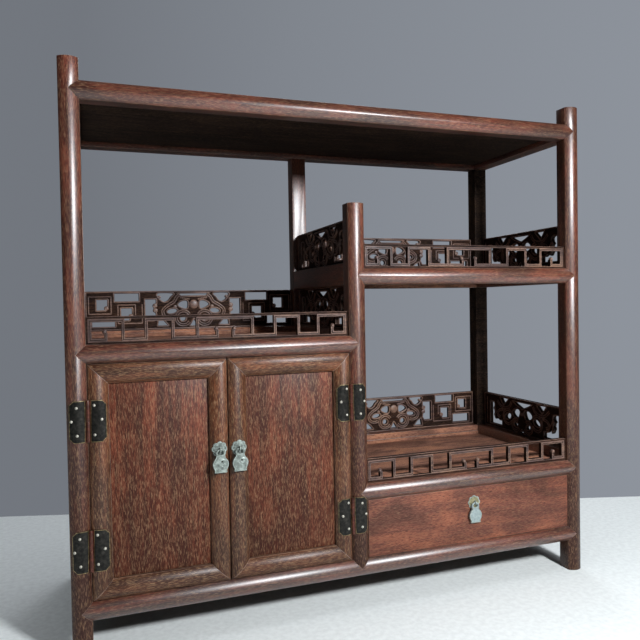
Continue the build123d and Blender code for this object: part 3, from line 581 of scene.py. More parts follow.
class CABINET_OT_joinery(bpy.types.Operator):
    """Posts, rails, boards, walls and drawer with their edges eased"""

    bl_idname = "cabinet.joinery"
    bl_label = "Joinery"

    def execute(self, context):
        for node in frame["nodes"]:
            if node.endswith(OTHER_ENDINGS):
                continue
            solid = cleaned_copy(node)
            grain_faces(solid)
            for face in solid.faces:
                face.material_index = own_finish(node, face.normal) or face.material_index
            slot = "hinge_brass" if "hinge" in node else JOINERY_SLOTS.get(node, "rosewood")
            finish_mesh(outward(solid), node, "eased", slot, ease=sizes().edge_ease)
        return {"FINISHED"}


MOULDING_RISE = 4.5        # mm: the rounded face's crest over its edges
MOULDING_STEPS = 14
DOOR_MEMBER = 19.0         # mm: width of a door frame's stiles and rails
MOULDING_RADIUS = (DOOR_MEMBER ** 2 / 4 + MOULDING_RISE ** 2) / (2 * MOULDING_RISE)
SEAM = 0.1                 # mm left open at a mitre


def moulded_section(y_front, y_back):
    """Points (across, y) of a door member, from its outer edge over its rounded face to its back."""
    spread = math.asin(DOOR_MEMBER / 2 / MOULDING_RADIUS)
    points = []
    for step in range(MOULDING_STEPS + 1):
        turn = -spread + 2 * spread * step / MOULDING_STEPS
        points.append((DOOR_MEMBER / 2 + MOULDING_RADIUS * math.sin(turn),
                       y_front + MOULDING_RADIUS * (1 - math.cos(turn))))
    return points + [(DOOR_MEMBER, y_back), (0.0, y_back)]


class CABINET_OT_doors(bpy.types.Operator):
    """Two door frames of rounded members, mitred at the corners"""

    bl_idname = "cabinet.doors"
    bl_label = "Doors"

    def execute(self, context):
        for node in ("left_door_frame", "right_door_frame"):
            low, high = box_of(node)
            section = moulded_section(low.y, high.y)
            corners = [(low.x, low.z), (high.x, low.z), (high.x, high.z), (low.x, high.z)]
            solid = bmesh.new()
            for (ax, az), (bx, bz) in zip(corners, corners[1:] + corners[:1]):
                length = math.hypot(bx - ax, bz - az)
                dx, dz = (bx - ax) / length, (bz - az) / length
                rings = [[], []]
                for across, y in section:
                    reach = across + SEAM / 2
                    for ring, step in zip(rings, (reach, length - reach)):
                        ring.append(put(solid, (ax + dx * step - dz * across, y,
                                                az + dz * step + dx * across)))
                tube(solid, rings, ALONG_X if dz == 0 else ALONG_Z)
            finish_mesh(outward(solid), node, "moulded", "rosewood", ease=sizes().edge_ease,
                        finish="door frame")
        return {"FINISHED"}


# ---- node trees


def run_tree(made, tree, values):
    """Adds a Geometry Nodes modifier with its inputs set by name."""
    modifier = made.modifiers.new(tree.name, "NODES")
    modifier.node_group = tree
    for socket in tree.interface.items_tree:
        if socket.in_out == "INPUT" and socket.name in values:
            modifier[socket.identifier] = values[socket.name]
    return plain(made)


def new_tree(name, inputs):
    """A node tree that takes and gives Geometry, with more inputs as (name, socket type) pairs."""
    tree = bpy.data.node_groups.new(name, "GeometryNodeTree")
    tree.interface.new_socket("Geometry", in_out="OUTPUT", socket_type="NodeSocketGeometry")
    tree.interface.new_socket("Geometry", in_out="INPUT", socket_type="NodeSocketGeometry")
    for label, kind in inputs:
        tree.interface.new_socket(label, in_out="INPUT", socket_type=kind)
    return tree, add_node(tree, "NodeGroupInput").outputs


def finish_tree(tree, geometry, material):
    """Ends a tree: real geometry, smooth, in one material."""
    real = add_node(tree, "GeometryNodeRealizeInstances", {"Geometry": geometry})
    smooth = add_node(tree, "GeometryNodeSetShadeSmooth", {"Geometry": real.outputs["Geometry"]})
    painted = add_node(tree, "GeometryNodeSetMaterial", {
        "Geometry": smooth.outputs["Geometry"], "Material": material})
    add_node(tree, "NodeGroupOutput", {"Geometry": painted.outputs["Geometry"]})
    return tree


@cache
def bead_tree():
    """A round bead along each path of edges."""
    tree, given = new_tree("carved bead", [
        ("Radius", "NodeSocketFloat"), ("Corner", "NodeSocketFloat"), ("Sides", "NodeSocketInt"),
        ("Material", "NodeSocketMaterial")])
    path = add_node(tree, "GeometryNodeMeshToCurve", {"Mesh": given["Geometry"]})
    rounded = add_node(tree, "GeometryNodeFilletCurve", {
        "Curve": path.outputs["Curve"], "Count": 2, "Radius": given["Corner"],
        "Limit Radius": True}, mode="POLY")
    section = add_node(tree, "GeometryNodeCurvePrimitiveCircle", {
        "Resolution": given["Sides"], "Radius": given["Radius"]})
    tube = add_node(tree, "GeometryNodeCurveToMesh", {
        "Curve": rounded.outputs["Curve"], "Profile Curve": section.outputs["Curve"],
        "Fill Caps": True})
    return finish_tree(tree, tube.outputs["Mesh"], given["Material"])


def beads(node, suffix, paths, radius, corner, slot, place):
    """Beads of a radius in mm along closed or open paths of local (a, b, c) points in mm."""
    wire = bmesh.new()
    for points, closed in paths:
        corners = [put(wire, point) for point in points]
        for ends in zip(corners, corners[1:] + (corners[:1] if closed else [])):
            wire.edges.new(ends)
    made = run_tree(solid_object(wire, f"{node}_{suffix}"), bead_tree(), {
        "Radius": radius * MM, "Corner": corner * MM, "Sides": BEAD_SIDES,
        "Material": finishes()[slot][WORN]})
    made.data.transform(place)
    settle(made, node, instead=False)


# ---- lines


def offset_loop(points, distance):
    """A closed loop moved outwards by distance, its corners mitred."""
    area = sum(ax * bz - bx * az for (ax, az), (bx, bz) in zip(points, points[1:] + points[:1]))
    way = math.copysign(1, area)
    moved = []
    for i, (x, z) in enumerate(points):
        before, after = Vector(points[i - 1]), Vector(points[(i + 1) % len(points)])
        here = Vector((x, z))
        d0, d1 = (here - before).normalized(), (after - here).normalized()
        n0, n1 = Vector((d0.y, -d0.x)) * way, Vector((d1.y, -d1.x)) * way
        mitre = (n0 + n1) / max(0.4, 1 + n0.dot(n1))
        moved.append((x + mitre.x * distance, z + mitre.y * distance))
    return moved


def offset_line(points, distance):
    """An open line moved sideways by distance."""
    moved = []
    for i, point in enumerate(points):
        ahead = Vector(points[min(i + 1, len(points) - 1)]) - Vector(points[max(i - 1, 0)])
        side = Vector((ahead.y, -ahead.x)).normalized() * distance
        moved.append((point[0] + side.x, point[1] + side.y))
    return moved


def smooth_line(points, steps=6):
    """A curve through all the points."""
    ends = [points[0], *points, points[-1]]
    line = []
    for p0, p1, p2, p3 in zip(ends, ends[1:], ends[2:], ends[3:]):
        for step in range(steps):
            t = step / steps
            line.append(tuple(
                0.5 * (2 * b + (c - a) * t + (2 * a - 5 * b + 4 * c - d) * t * t
                       + (3 * b - a - 3 * c + d) * t ** 3)
                for a, b, c, d in zip(p0, p1, p2, p3)))
    return line + [points[-1]]


def arc(x, z, radius, start, end, steps=14):
    """Points on an arc, its angles in degrees from +x towards +z."""
    angles = [math.radians(start + (end - start) * i / steps) for i in range(steps + 1)]
    return [(x + radius * math.cos(angle), z + radius * math.sin(angle)) for angle in angles]


def oval(x, z, long_radius, short_radius, turn, count=20):
    """A closed loop round an oval, turned by degrees."""
    tilt = math.radians(turn)
    points = []
    for around in turns(count):
        u, w = long_radius * math.cos(around), short_radius * math.sin(around)
        points.append((x + u * math.cos(tilt) - w * math.sin(tilt),
                       z + u * math.sin(tilt) + w * math.cos(tilt)))
    return points


def flipped(points):
    """A loop or line mirrored across the gallery's middle."""
    return [(-x, z) for x, z in points]


def rounded_hole(points):
    """A closed loop drawn as a curve through its points."""
    around = [points[-1], *points, points[0], points[1]]
    line = smooth_line(around, 4)
    return line[4:-5]


# ---- patterns

# Each pattern in mm from the middle of its lower edge: the grid that it is drawn on, holes in
# mirrored pairs, holes in the middle, carved strands in pairs, balls (x, z, radius) in pairs, and
# bosses in the middle. A strand of square corners is one bead, any other is two side by side.
SCROLL_GRID = (271, 50)
SCROLL_PAIRS = (
    [(121.8, 25.8), (121.8, 39.2), (108.8, 39.2), (108.8, 31.2)] + arc(110, 28.4, 2.8, 90, -68, 5),
    [(100, 4.9), (127.4, 4.9), (127.4, 16.8), (100, 16.8)],
    [(70, 37), (100, 37), (100, 47), (70, 47)],
    [(92.2, 12.6), (92.2, 27.9), (78.8, 27.9), (78.8, 20.6)] + arc(80, 17.8, 2.8, 90, -60, 5)
    + [(82.5, 12.6)],
    [(62.2, 12), (62.2, 39), (48.6, 39), (48.6, 34)] + arc(49.8, 30.6, 3, 90, -50, 5)
    + arc(49.4, 24.6, 3, 50, -90, 5) + [(48.4, 17), (51.5, 12)],
    rounded_hole([(27, 46.4), (45.8, 46.6), (44.4, 40.6), (38.6, 36), (33.4, 37.6), (30.2, 42)]),
    rounded_hole([(8, 35.4), (12.4, 36.8), (18, 34.6), (20, 31.2), (14.4, 27.6), (8.6, 27.2)]),
    [(33.6, 4.8), (46.6, 4.8), (45, 14.4), (39.4, 11.4)],
    oval(28, 23.4, 6.4, 2.9, -8),
    oval(14.2, 13.8, 3.7, 3.5, 0),
)
SCROLL_MIDDLE = (
    [(-21, 46.8), (21, 46.8), (16, 43.6), (-16, 43.6)],
    [(-5, 3.8), (5, 3.8), (0, 12.4)],
)
SCROLL_STRANDS = (
    arc(14, 14, 9.3, -150, 150),
    smooth_line([(17.5, 45), (22, 42), (26, 35.5), (34, 30.5), (40, 24.5), (38.5, 17.5),
                 (32, 14.5), (26, 15.5)]),
    [(66.2, 33), (66.2, 8.6), (96.2, 8.6), (96.2, 32.4), (74.6, 32.4), (74.6, 19)],
    [(104.4, 43), (104.4, 21.2), (131.4, 21.2), (131.4, 43), (104.4, 43)],
)
SCROLL_BALLS = ((110, 28.4, 2.8), (80, 17.8, 2.8), (49.8, 30.6, 3), (49.4, 24.6, 3),
                (24.2, 29.2, 2.2), (44, 42, 2),
                *((6.4 + 2.1 * i, 39 + 0.35 * i, 1.15) for i in range(6)))     # beside the boss
SCROLL = (SCROLL_GRID, SCROLL_PAIRS, SCROLL_MIDDLE, SCROLL_STRANDS, SCROLL_BALLS, ((0, 32, 5.9),))

CLOUD_GRID = (183, 50)
CLOUD_PAIRS = (
    [(75.8, 5.4), (75.8, 38), (69, 38)]
    + rounded_hole([(66.6, 36.4), (65.2, 32.6), (68.4, 28.6), (64.8, 24.4), (66.8, 19), (62, 13.4)])
    + [(56, 14.2), (52.4, 12.2), (47, 12.4), (47, 5.4)],
    [(31.6, 46.6), (50.6, 46.6), (43, 36.8)],
    rounded_hole([(5, 31.4), (9, 34.8), (17, 33.8), (22.2, 28.6), (17, 23.8), (9, 23.2)]),
    oval(32, 21.8, 7.4, 4.1, -20),
    oval(13.6, 12.4, 4.7, 3, 20),
)
CLOUD_MIDDLE = (
    [(-22.4, 45.4), (22.4, 45.4), (12, 41.2), (0, 36.6), (-12, 41.2)],
    [(-6.2, 1.8), (6.2, 1.8), (0, 6.8)],
)
CLOUD_STRANDS = (
    arc(32.5, 21, 10.4, -150, 150),
    arc(14, 12, 8.2, -160, 130),
    smooth_line([(24, 43), (29, 36), (38, 33), (48, 33.5), (58, 41)]),
    smooth_line([(46, 29), (54, 27), (57.5, 21), (51, 17.5)]),
    [(83.6, 44), (83.6, 5)],
)
CLOUD_BALLS = ((64.6, 28.6, 2.4), (45, 29.6, 2.2), (1.9, 29, 2.6), (24, 15, 1.8))
CLOUD = (CLOUD_GRID, CLOUD_PAIRS, CLOUD_MIDDLE, CLOUD_STRANDS, CLOUD_BALLS, ())


# ---- galleries

SHELVES = ("left", "upper", "lower")
SIDE_GALLERIES = ("left_shelf_left_gallery", "left_shelf_right_panel", "upper_shelf_left_gallery",
                  "upper_shelf_right_gallery", "lower_shelf_right_gallery")
GALLERY_THICKNESS = 6.0
FACE_SETBACK = 0.75        # mm: carved ground below the beads' crests
BEAD_CORNER = 0.7          # mm: rounding of a bead's corners
BEAD_SIDES = 6
BEAD_INSET = 0.9           # radii from an edge to its bead's middle
STRAND_GAP = 2.6           # mm between the two beads of a carved strand
CARVED_EASE = 0.45         # mm: rounding of the pierced edges
CARVED_ANGLE = 40          # degrees: sharper edges of a pierced plate show as edges
BALL_RISE = 0.7            # mm: small balls above the carved ground
BOSS_RISE = 1.6
BALL_MESH, BOSS_MESH = (3, 12), (5, 20)     # rings and segments


def pierced_plate(outlines, thickness, ease, index, place):
    """A plate with rounded edges: the first outline is its border, the others are its holes."""
    curve = bpy.data.curves.new("outlines", "CURVE")
    curve.dimensions = "2D"
    curve.fill_mode = "BOTH"
    curve.extrude = (thickness / 2 - ease) * MM
    curve.bevel_depth = ease * MM
    curve.bevel_resolution = 1
    curve.offset = -ease * MM
    for points in outlines:
        spline = curve.splines.new("POLY")
        spline.points.add(len(points) - 1)
        for target, (a, b) in zip(spline.points, points):
            target.co = (a * MM, b * MM, 0, 1)
        spline.use_cyclic_u = True
    source = new_object("outlines", curve)
    mesh = bpy.data.meshes.new_from_object(source)
    bpy.data.objects.remove(source)
    solid = bmesh.new()
    solid.from_mesh(mesh)
    bpy.data.meshes.remove(mesh)
    bmesh.ops.remove_doubles(solid, verts=solid.verts, dist=0.01 * MM)
    for face in outward(solid).faces:
        eased = 0.1 <= abs(face.normal.z) <= 0.95
        face.material_index = WORN if eased else index
    bmesh.ops.transform(solid, matrix=place, verts=solid.verts)
    return solid


def add_dome(solid, place, centre, radius, rise, way, rings, segments):
    """A round boss on the carved ground, on the side that way (1 or -1) names."""
    a, b = centre
    base = GALLERY_THICKNESS / 2 - FACE_SETBACK
    levels = [[put(solid, (a, b, way * (base + rise)), place)]]
    for ring in range(1, rings + 1):
        turn = math.pi / 2 * ring / rings
        out = radius * math.sin(turn)
        levels.append([put(solid, (a + out * math.cos(around), b + out * math.sin(around),
                                   way * (base + rise * math.cos(turn))), place)
                       for around in turns(segments)])
    tube(solid, levels, WORN)


def rectangle(half, height, inset=0.0):
    """Corners of a gallery, drawn in by inset."""
    side, top = half - inset, height - inset
    return [(-side, inset), (side, inset), (side, top), (-side, top)]


def at_depth(points, depth):
    """Flat points moved to a depth."""
    return [(a, b, depth) for a, b in points]


def carved_gallery(node, pattern, along, place, half, height):
    """One tall gallery: pierced ground, beads along every edge, carved strands, balls and bosses."""
    grid, pairs, middle, strands, balls, bosses = pattern
    sx, sz = 2 * half / grid[0], height / grid[1]

    def fitted(points):
        return [(x * sx, z * sz) for x, z in points]

    holes = [fitted(loop) for pair in pairs for loop in (pair, flipped(pair))]
    holes += [fitted(loop) for loop in middle]
    ground = pierced_plate([rectangle(half, height), *holes], GALLERY_THICKNESS - 2 * FACE_SETBACK,
                           CARVED_EASE, along, place)
    finish_mesh(ground, node, "ground", "gallery_wood", angle=CARVED_ANGLE)

    radius = sizes().bead_radius / MM
    raised = [(offset_loop(loop, radius * BEAD_INSET), True) for loop in holes]
    raised.append((rectangle(half, height, radius), True))
    for strand in strands:
        square = all(ax == bx or az == bz for (ax, az), (bx, bz) in zip(strand, strand[1:]))
        for twin in (strand, flipped(strand)):
            for gap in (0,) if square else (-STRAND_GAP / 2, STRAND_GAP / 2):
                raised.append((fitted(offset_line(twin, gap)), False))
    crest = GALLERY_THICKNESS / 2 - radius
    paths = [(at_depth(line, depth), closed) for depth in (-crest, crest) for line, closed in raised]
    beads(node, "beads", paths, radius, BEAD_CORNER, "gallery_wood", place)

    solid = bmesh.new()
    for way in (-1, 1):
        for x, z, ball in balls:
            for side in (-1, 1):
                add_dome(solid, place, (side * x * sx, z * sz), ball, BALL_RISE, way, *BALL_MESH)
        for x, z, boss in bosses:
            add_dome(solid, place, (x * sx, z * sz), boss, BOSS_RISE, way, *BOSS_MESH)
    finish_mesh(outward(solid), node, "balls", "gallery_wood", instead=False)


def upright(x, y, z):
    """Places local (a, b, c) mm on a plane that faces the front, with its foot at x, y, z mm."""
    return Matrix(((1, 0, 0, x * MM), (0, 0, -1, y * MM), (0, 1, 0, z * MM), (0, 0, 0, 1)))


def sideways(x, y, z):
    """Places local (a, b, c) mm on a plane that faces the right."""
    return Matrix(((0, 0, 1, x * MM), (1, 0, 0, y * MM), (0, 1, 0, z * MM), (0, 0, 0, 1)))


def front_bay(node):
    """A front or back gallery's plane, half its run between the posts, and its height, in mm."""
    low, high = box_of(node)
    left, right = ("left", "middle") if node.startswith("left") else ("middle", "right")
    x0, x1 = box_of(f"back_{left}_post")[1].x, box_of(f"back_{right}_post")[0].x
    return upright((x0 + x1) / 2, (low.y + high.y) / 2, low.z), (x1 - x0) / 2, high.z - low.z


def side_bay(node):
    """The same for a side gallery."""
    low, high = box_of(node)
    y0, y1 = box_of("front_left_post")[1].y, box_of("back_left_post")[0].y
    return sideways((low.x + high.x) / 2, (y0 + y1) / 2, low.z), (y1 - y0) / 2, high.z - low.z


class CABINET_OT_scroll_galleries(bpy.types.Operator):
    """Tall back galleries: square frets, cloud scrolls and a round boss"""

    bl_idname = "cabinet.scroll_galleries"
    bl_label = "Scroll galleries"

    def execute(self, context):
        for shelf in SHELVES:
            node = f"{shelf}_shelf_back_gallery"
            carved_gallery(node, SCROLL, ALONG_X, *front_bay(node))
        return {"FINISHED"}


class CABINET_OT_cloud_galleries(bpy.types.Operator):
    """Side galleries: one carved cloud between two upright frets"""

    bl_idname = "cabinet.cloud_galleries"
    bl_label = "Cloud galleries"

    def execute(self, context):
        for node in SIDE_GALLERIES:
            carved_gallery(node, CLOUD, ALONG_Y, *side_bay(node))
        return {"FINISHED"}


FRAME_BAR = 2.6            # mm: width of the frame round the meander
FRET_LINE = 3.0            # mm: width of the meander's bars
BAR_EASE = 0.5
GROOVE_DEPTH = 0.6
GROOVE_HALF = 0.36         # mm: half of the groove's width
FRET_SHARES = (0.744, 0.582, 0.390, 0.210)     # uprights, as shares of half the run
END_HOOK_REACH = 14.5      # mm: hooks from the outer uprights
CENTRE_HOOK_REACH = 8.4    # mm: hooks from the middle
HOOK_RISE = 0.36           # share of the meander's height


def bar_section(width, groove=()):
    """Closed section (across, depth, material) of a fret bar, grooved on both faces or plain."""
    side, deep = width / 2, GALLERY_THICKNESS / 2
    rim = side - BAR_EASE
    half = [(-side, deep - BAR_EASE, WORN), (-rim, deep, WORN if groove else ALONG_X), *groove,
            (rim, deep, WORN), (side, deep - BAR_EASE, ALONG_X)]
    return half + [(-across, -depth, index) for across, depth, index in half]


FRAME_SECTION = bar_section(FRAME_BAR)
FRET_SECTION = bar_section(FRET_LINE, (
    (-GROOVE_HALF, GALLERY_THICKNESS / 2, ALONG_X), (0.0, GALLERY_THICKNESS / 2 - GROOVE_DEPTH, ALONG_X),
    (GROOVE_HALF, GALLERY_THICKNESS / 2, WORN)))


def sweep(solid, points, section, closed, place):
    """Runs a section along a path of square corners, mitred at each."""
    rings = []
    for i, point in enumerate(points):
        here = Vector(point)
        ways = []
        if closed or i:
            ways.append((here - Vector(points[i - 1])).normalized())
        if closed or i < len(points) - 1:
            ways.append((Vector(points[(i + 1) % len(points)]) - here).normalized())
        n0, n1 = (Vector((-way.y, way.x)) for way in (ways[0], ways[-1]))
        mitre = (n0 + n1) / (1 + n0.dot(n1))
        rings.append([put(solid, (here.x + mitre.x * across, here.y + mitre.y * across, depth), place)
                      for across, depth, _ in section])
    tube(solid, rings, [index for _, _, index in section], closed)


def meander(half, height):
    """Half of a meander, half of its middle, and the two hooks' ends (x, z), all in mm."""
    bottom = FRAME_BAR + FRET_LINE / 2
    top, stile = height - bottom, half - bottom
    hook_top = bottom + (top - bottom) * HOOK_RISE
    end_hook = stile - END_HOOK_REACH
    path = [(end_hook, hook_top), (end_hook, bottom), (stile, bottom), (stile, top)]
    level, other = top, bottom
    for share in FRET_SHARES:
        path += [(half * share, level), (half * share, other)]
        level, other = other, level
    centre = [(half * FRET_SHARES[-1], bottom), (CENTRE_HOOK_REACH, bottom),
              (CENTRE_HOOK_REACH, hook_top)]
    return path + [(0.0, top)], centre, [(x, hook_top) for x in (end_hook, CENTRE_HOOK_REACH)]


class CABINET_OT_fret_galleries(bpy.types.Operator):
    """Low front galleries: a meander of grooved bars in a thin frame"""

    bl_idname = "cabinet.fret_galleries"
    bl_label = "Fret galleries"

    def execute(self, context):
        for shelf in SHELVES:
            node = f"{shelf}_shelf_front_gallery"
            place, half, height = front_bay(node)
            path, centre, hooks = meander(half, height)
            solid = bmesh.new()
            sweep(solid, rectangle(half, height, FRAME_BAR / 2), FRAME_SECTION, True, place)
            for line in (path, flipped(path), centre, flipped(centre)):
                sweep(solid, line, FRET_SECTION, False, place)
            curl = sizes().curl_radius / MM
            squash = Matrix.Diagonal((curl, curl, GALLERY_THICKNESS / 2, 1))
            for x, z in hooks:
                for way in (-1, 1):
                    end = Vector((way * (x + FRET_LINE / 3), z + FRET_LINE / 3, 0))
                    ball = bmesh.ops.create_uvsphere(
                        solid, u_segments=14, v_segments=9, radius=MM,
                        matrix=place @ Matrix.Translation(end * MM) @ squash)
                    for face in {face for vertex in ball["verts"] for face in vertex.link_faces}:
                        face.material_index = WORN
            finish_mesh(outward(solid), node, "fret", "gallery_wood")
        return {"FINISHED"}


# ---- hinges

# Each pair of leaves, the member that it bends over, and its side of the pin.
LEAVES = (("left_hinge_post_leaves", "front_left_post", -1),
          ("right_hinge_post_leaves", "front_middle_post", 1),
          ("left_hinge_door_leaves", "left_door_frame", 1),
          ("right_hinge_door_leaves", "right_door_frame", -1))
LEAF_THICKNESS = 0.8
LEAF_LENGTH = 40.0         # mm: along the pin
LEAF_EASE = 0.25           # mm: rounding of the sheet's edges
PIN_SETBACK = 1.5          # mm: the pin's axis behind the mouldings' crest
KNUCKLE_RADIUS = 2.0
KNUCKLE_REACH = 2.35       # mm: whatever lies nearer to the pin is knuckle
FRONTING = 0.3             # least part of a sheet face's normal that looks forwards
POST_NAILS = ((10.2, 13.5), (15.0, 0.8), (10.0, -12.8))     # mm from the pin, above mid height
DOOR_NAILS = ((5.8, 15.3), (12.6, 1.5), (5.9, -13.0))
NAIL_RISE = 0.75           # share of a nail head's radius that it stands up


@cache
def nail_tree():
    """A domed nail head on each point, turned to the point's facing."""
    tree, given = new_tree("hinge nails", [("Radius", "NodeSocketFloat"), ("Rise", "NodeSocketFloat"),
                                           ("Material", "NodeSocketMaterial")])
    ball = add_node(tree, "GeometryNodeMeshUVSphere", {
        "Segments": 14, "Rings": 8, "Radius": given["Radius"]})
    flat = add_node(tree, "ShaderNodeCombineXYZ", {"X": 1.0, "Y": 1.0, "Z": given["Rise"]})
    head = add_node(tree, "GeometryNodeTransform", {
        "Geometry": ball.outputs["Mesh"], "Scale": flat.outputs["Vector"]})
    facing = add_node(tree, "GeometryNodeInputNamedAttribute", {"Name": "facing"},
                      data_type="FLOAT_VECTOR")
    turn = add_node(tree, "FunctionNodeAlignRotationToVector",
                    {"Vector": facing.outputs["Attribute"]}, axis="Z")
    nails = add_node(tree, "GeometryNodeInstanceOnPoints", {
        "Points": given["Geometry"], "Instance": head.outputs["Geometry"],
        "Rotation": turn.outputs["Rotation"]})
    return finish_tree(tree, nails.outputs["Instances"], given["Material"])


def leaf_faces(solid, pin_x, pin_y):
    """Materials of a pair of leaves: rubbed rims round the sheets, and brown knuckles."""
    sheets = []
    for face in solid.faces:
        centre = face.calc_center_median() / MM
        if math.hypot(centre.x - pin_x, centre.y - pin_y) < KNUCKLE_REACH:
            face.material_index = DETAIL
        elif face.normal.y < -FRONTING:
            sheets.append(face)
    rims = bmesh.ops.inset_region(solid, faces=sheets, thickness=sizes().leaf_rim,
                                  use_even_offset=True, use_boundary=True)
    for face in rims["faces"]:
        face.material_index = WORN


class CABINET_OT_hinges(bpy.types.Operator):
    """Hinge leaves bent over the mouldings, with rubbed rims, brown knuckles and domed nails"""

    bl_idname = "cabinet.hinges"
    bl_label = "Hinges"

    def execute(self, context):
        crest = box_of("front_left_post")[0].y
        outer = MOULDING_RADIUS + LEAF_THICKNESS
        for node, member, way in LEAVES:
            low, high = box_of(node)
            pin_x = low.x + KNUCKLE_RADIUS if way > 0 else high.x - KNUCKLE_RADIUS
            solid = cleaned_copy(node)
            leaf_faces(solid, pin_x, crest + PIN_SETBACK)
            finish_mesh(outward(solid), node, "bent", "hinge_brass", ease=LEAF_EASE * MM)

            middle = box_of(member)[0 if way > 0 else 1].x + way * DOOR_MEMBER / 2
            points = bmesh.new()
            facings = []
            for mid_z in (low.z + LEAF_LENGTH / 2, high.z - LEAF_LENGTH / 2):
                for reach, rise in (POST_NAILS if "post" in node else DOOR_NAILS):
                    across = pin_x + way * reach - middle
                    y = crest + MOULDING_RADIUS - math.sqrt(outer ** 2 - across ** 2)
                    put(points, (middle + across, y, mid_z + rise))
                    facings += [across / outer, -math.sqrt(1 - (across / outer) ** 2), 0.0]
            nails = solid_object(points, f"{node}_nails")
            facing = nails.data.attributes.new("facing", "FLOAT_VECTOR", "POINT")
            facing.data.foreach_set("vector", facings)
            run_tree(nails, nail_tree(), {
                "Radius": sizes().nail_radius, "Rise": NAIL_RISE, "Material": finishes()["nails"][0]})
            settle(nails, node, instead=False)
        return {"FINISHED"}


# ---- pulls

PULLS = {"left": "pull_metal", "right": "pull_metal", "drawer": "drawer_pull_metal"}
EYE_RADIUS = 2.65          # mm: outer radius of the eye
EYE_BAR = 0.7              # mm: radius of its wire
SHANK_DEPTH = 0.5          # mm: the eye's shank behind the wood's face
PLATE_RADIUS = 8.15        # mm: over the lobes
LOBES = 8
LOBE_DEPTH = 1.15          # mm: how far the edge draws in between two lobes
LOBE_POWER, PETAL_POWER = 0.6, 1.5     # how full the lobes are, how sharp the grooves
PLATE_SEGMENTS = 64
# Rings of the plate from its middle to its back edge: share of the radius, height in mm, and
# depth of the grooves between petals in mm. The rim is rubbed bright from the given ring on.
PLATE_RINGS = ((0.0, 1.0, 0.0), (0.2, 0.98, 0.0), (0.32, 0.72, 0.05), (0.46, 0.8, 0.2),
               (0.62, 0.95, 0.35), (0.76, 0.78, 0.3), (0.84, 0.72, 0.1), (0.9, 0.98, 0.0),
               (0.96, 0.98, 0.0), (1.0, 0.6, 0.0), (1.0, 0.0, 0.0))
RIM_RING = 6
TORUS_SIDES = 10
EYE_SEGMENTS, SHANK_SIDES, RING_SEGMENTS = 20, 12, 28

RING_DROP = 3.3            # mm: middle of the pendant's ring below the eye
RING_HALF_WIDTH = 4.0
RING_BAR_TOP = 0.85        # mm: radius of the ring's bar at its top
RING_BAR_FOOT = 1.5
PENDANT_THICKNESS = 3.2
PENDANT_EASE = 0.5
BODY_SETBACK = 0.35        # mm: flat of a pendant below its rim
RIM_CORNER = 0.2           # mm: rounding of the rim's corners
PENDANT_SIDE = [(4.7, -5.2), (4.5, -6.8), (5.4, -8.6), (7.2, -11), (8.1, -13.6), (8, -15.8),
                (7.2, -18.2), (6.4, -19.9), (6, -21), (6.5, -22.2)]
PENDANT_FOOT = (6.6, -23.2)
PENDANT_HOLE = (1.5, -12.1, 1.15, 0.95, 20, 12)
PENDANT_CURLS = ([(4.6, -10.8), (2.4, -9.6), (-0.4, -10.6), (-1.6, -13), (-0.6, -15.6), (2.2, -16.6)],
                 [(3.6, -12.6), (3.4, -14.4), (1.6, -14.6)])


def torus(solid, centre, normal, rings, index):
    """A closed bar round a centre: rings are (radius out, turn, bar radius, bar depth) in mm."""
    up = Vector((0, 0, 1))
    side = normal.cross(up)
    loops = []
    for reach, turn, bar, deep in rings:
        out = up * math.cos(turn) + side * math.sin(turn)
        loops.append([put(solid, centre + out * (reach + bar * math.cos(around))
                          + normal * (deep * math.sin(around))) for around in turns(TORUS_SIDES)])
    tube(solid, loops, index, closed=True)


def pull_plate(solid, x, z, base, rounded):
    """A scalloped plate with a raised rim and petals, bent over the moulding where rounded."""
    rings = []
    for share, height, groove in PLATE_RINGS:
        rings.append([])
        for turn in turns(PLATE_SEGMENTS if share else 1):
            petal = abs(math.cos(LOBES * turn / 2))
            reach = (PLATE_RADIUS - LOBE_DEPTH * (1 - petal ** LOBE_POWER)) * share
            a, b = reach * math.sin(turn), reach * math.cos(turn)
            rise = height - groove * (1 - petal) ** PETAL_POWER
            y = base - rise
            if rounded:
                y = base + MOULDING_RADIUS - math.sqrt((MOULDING_RADIUS + rise) ** 2 - a ** 2)
            rings[-1].append(put(solid, (x + a, y, z + b)))
    for face in tube(solid, rings, ALONG_X)[RIM_RING * PLATE_SEGMENTS:]:
        face.material_index = WORN


class CABINET_OT_pulls(bpy.types.Operator):
    """Scalloped plates with their eyes, and cast pendants hung from them by a ring"""

    bl_idname = "cabinet.pulls"
    bl_label = "Drop pulls"

    def execute(self, context):
        for name, slot in PULLS.items():
            node = f"{name}_pull_plate"
            low, high = box_of(node)
            eye = Vector(((low.x + high.x) / 2, low.y + EYE_RADIUS, (low.z + high.z) / 2))
            door = name != "drawer"
            base = box_of("front_left_post" if door else "drawer_front")[0].y
            solid = bmesh.new()
            pull_plate(solid, eye.x, eye.z, base, door)
            bar = [(EYE_RADIUS - EYE_BAR, turn, EYE_BAR, EYE_BAR) for turn in turns(EYE_SEGMENTS)]
            torus(solid, eye, Vector((1, 0, 0)), bar, WORN)
            shank = [[put(solid, (eye.x + EYE_BAR * math.cos(turn), y,
                                  eye.z + EYE_BAR * math.sin(turn))) for turn in turns(SHANK_SIDES)]
                     for y in (eye.y + EYE_RADIUS - EYE_BAR, base - SHANK_DEPTH)]
            tube(solid, shank, WORN)
            finish_mesh(outward(solid), node, "cast", slot, angle=50)
            hang_pendant(f"{name}_pendant", slot, eye, ALONG_X if door else DETAIL)
        return {"FINISHED"}


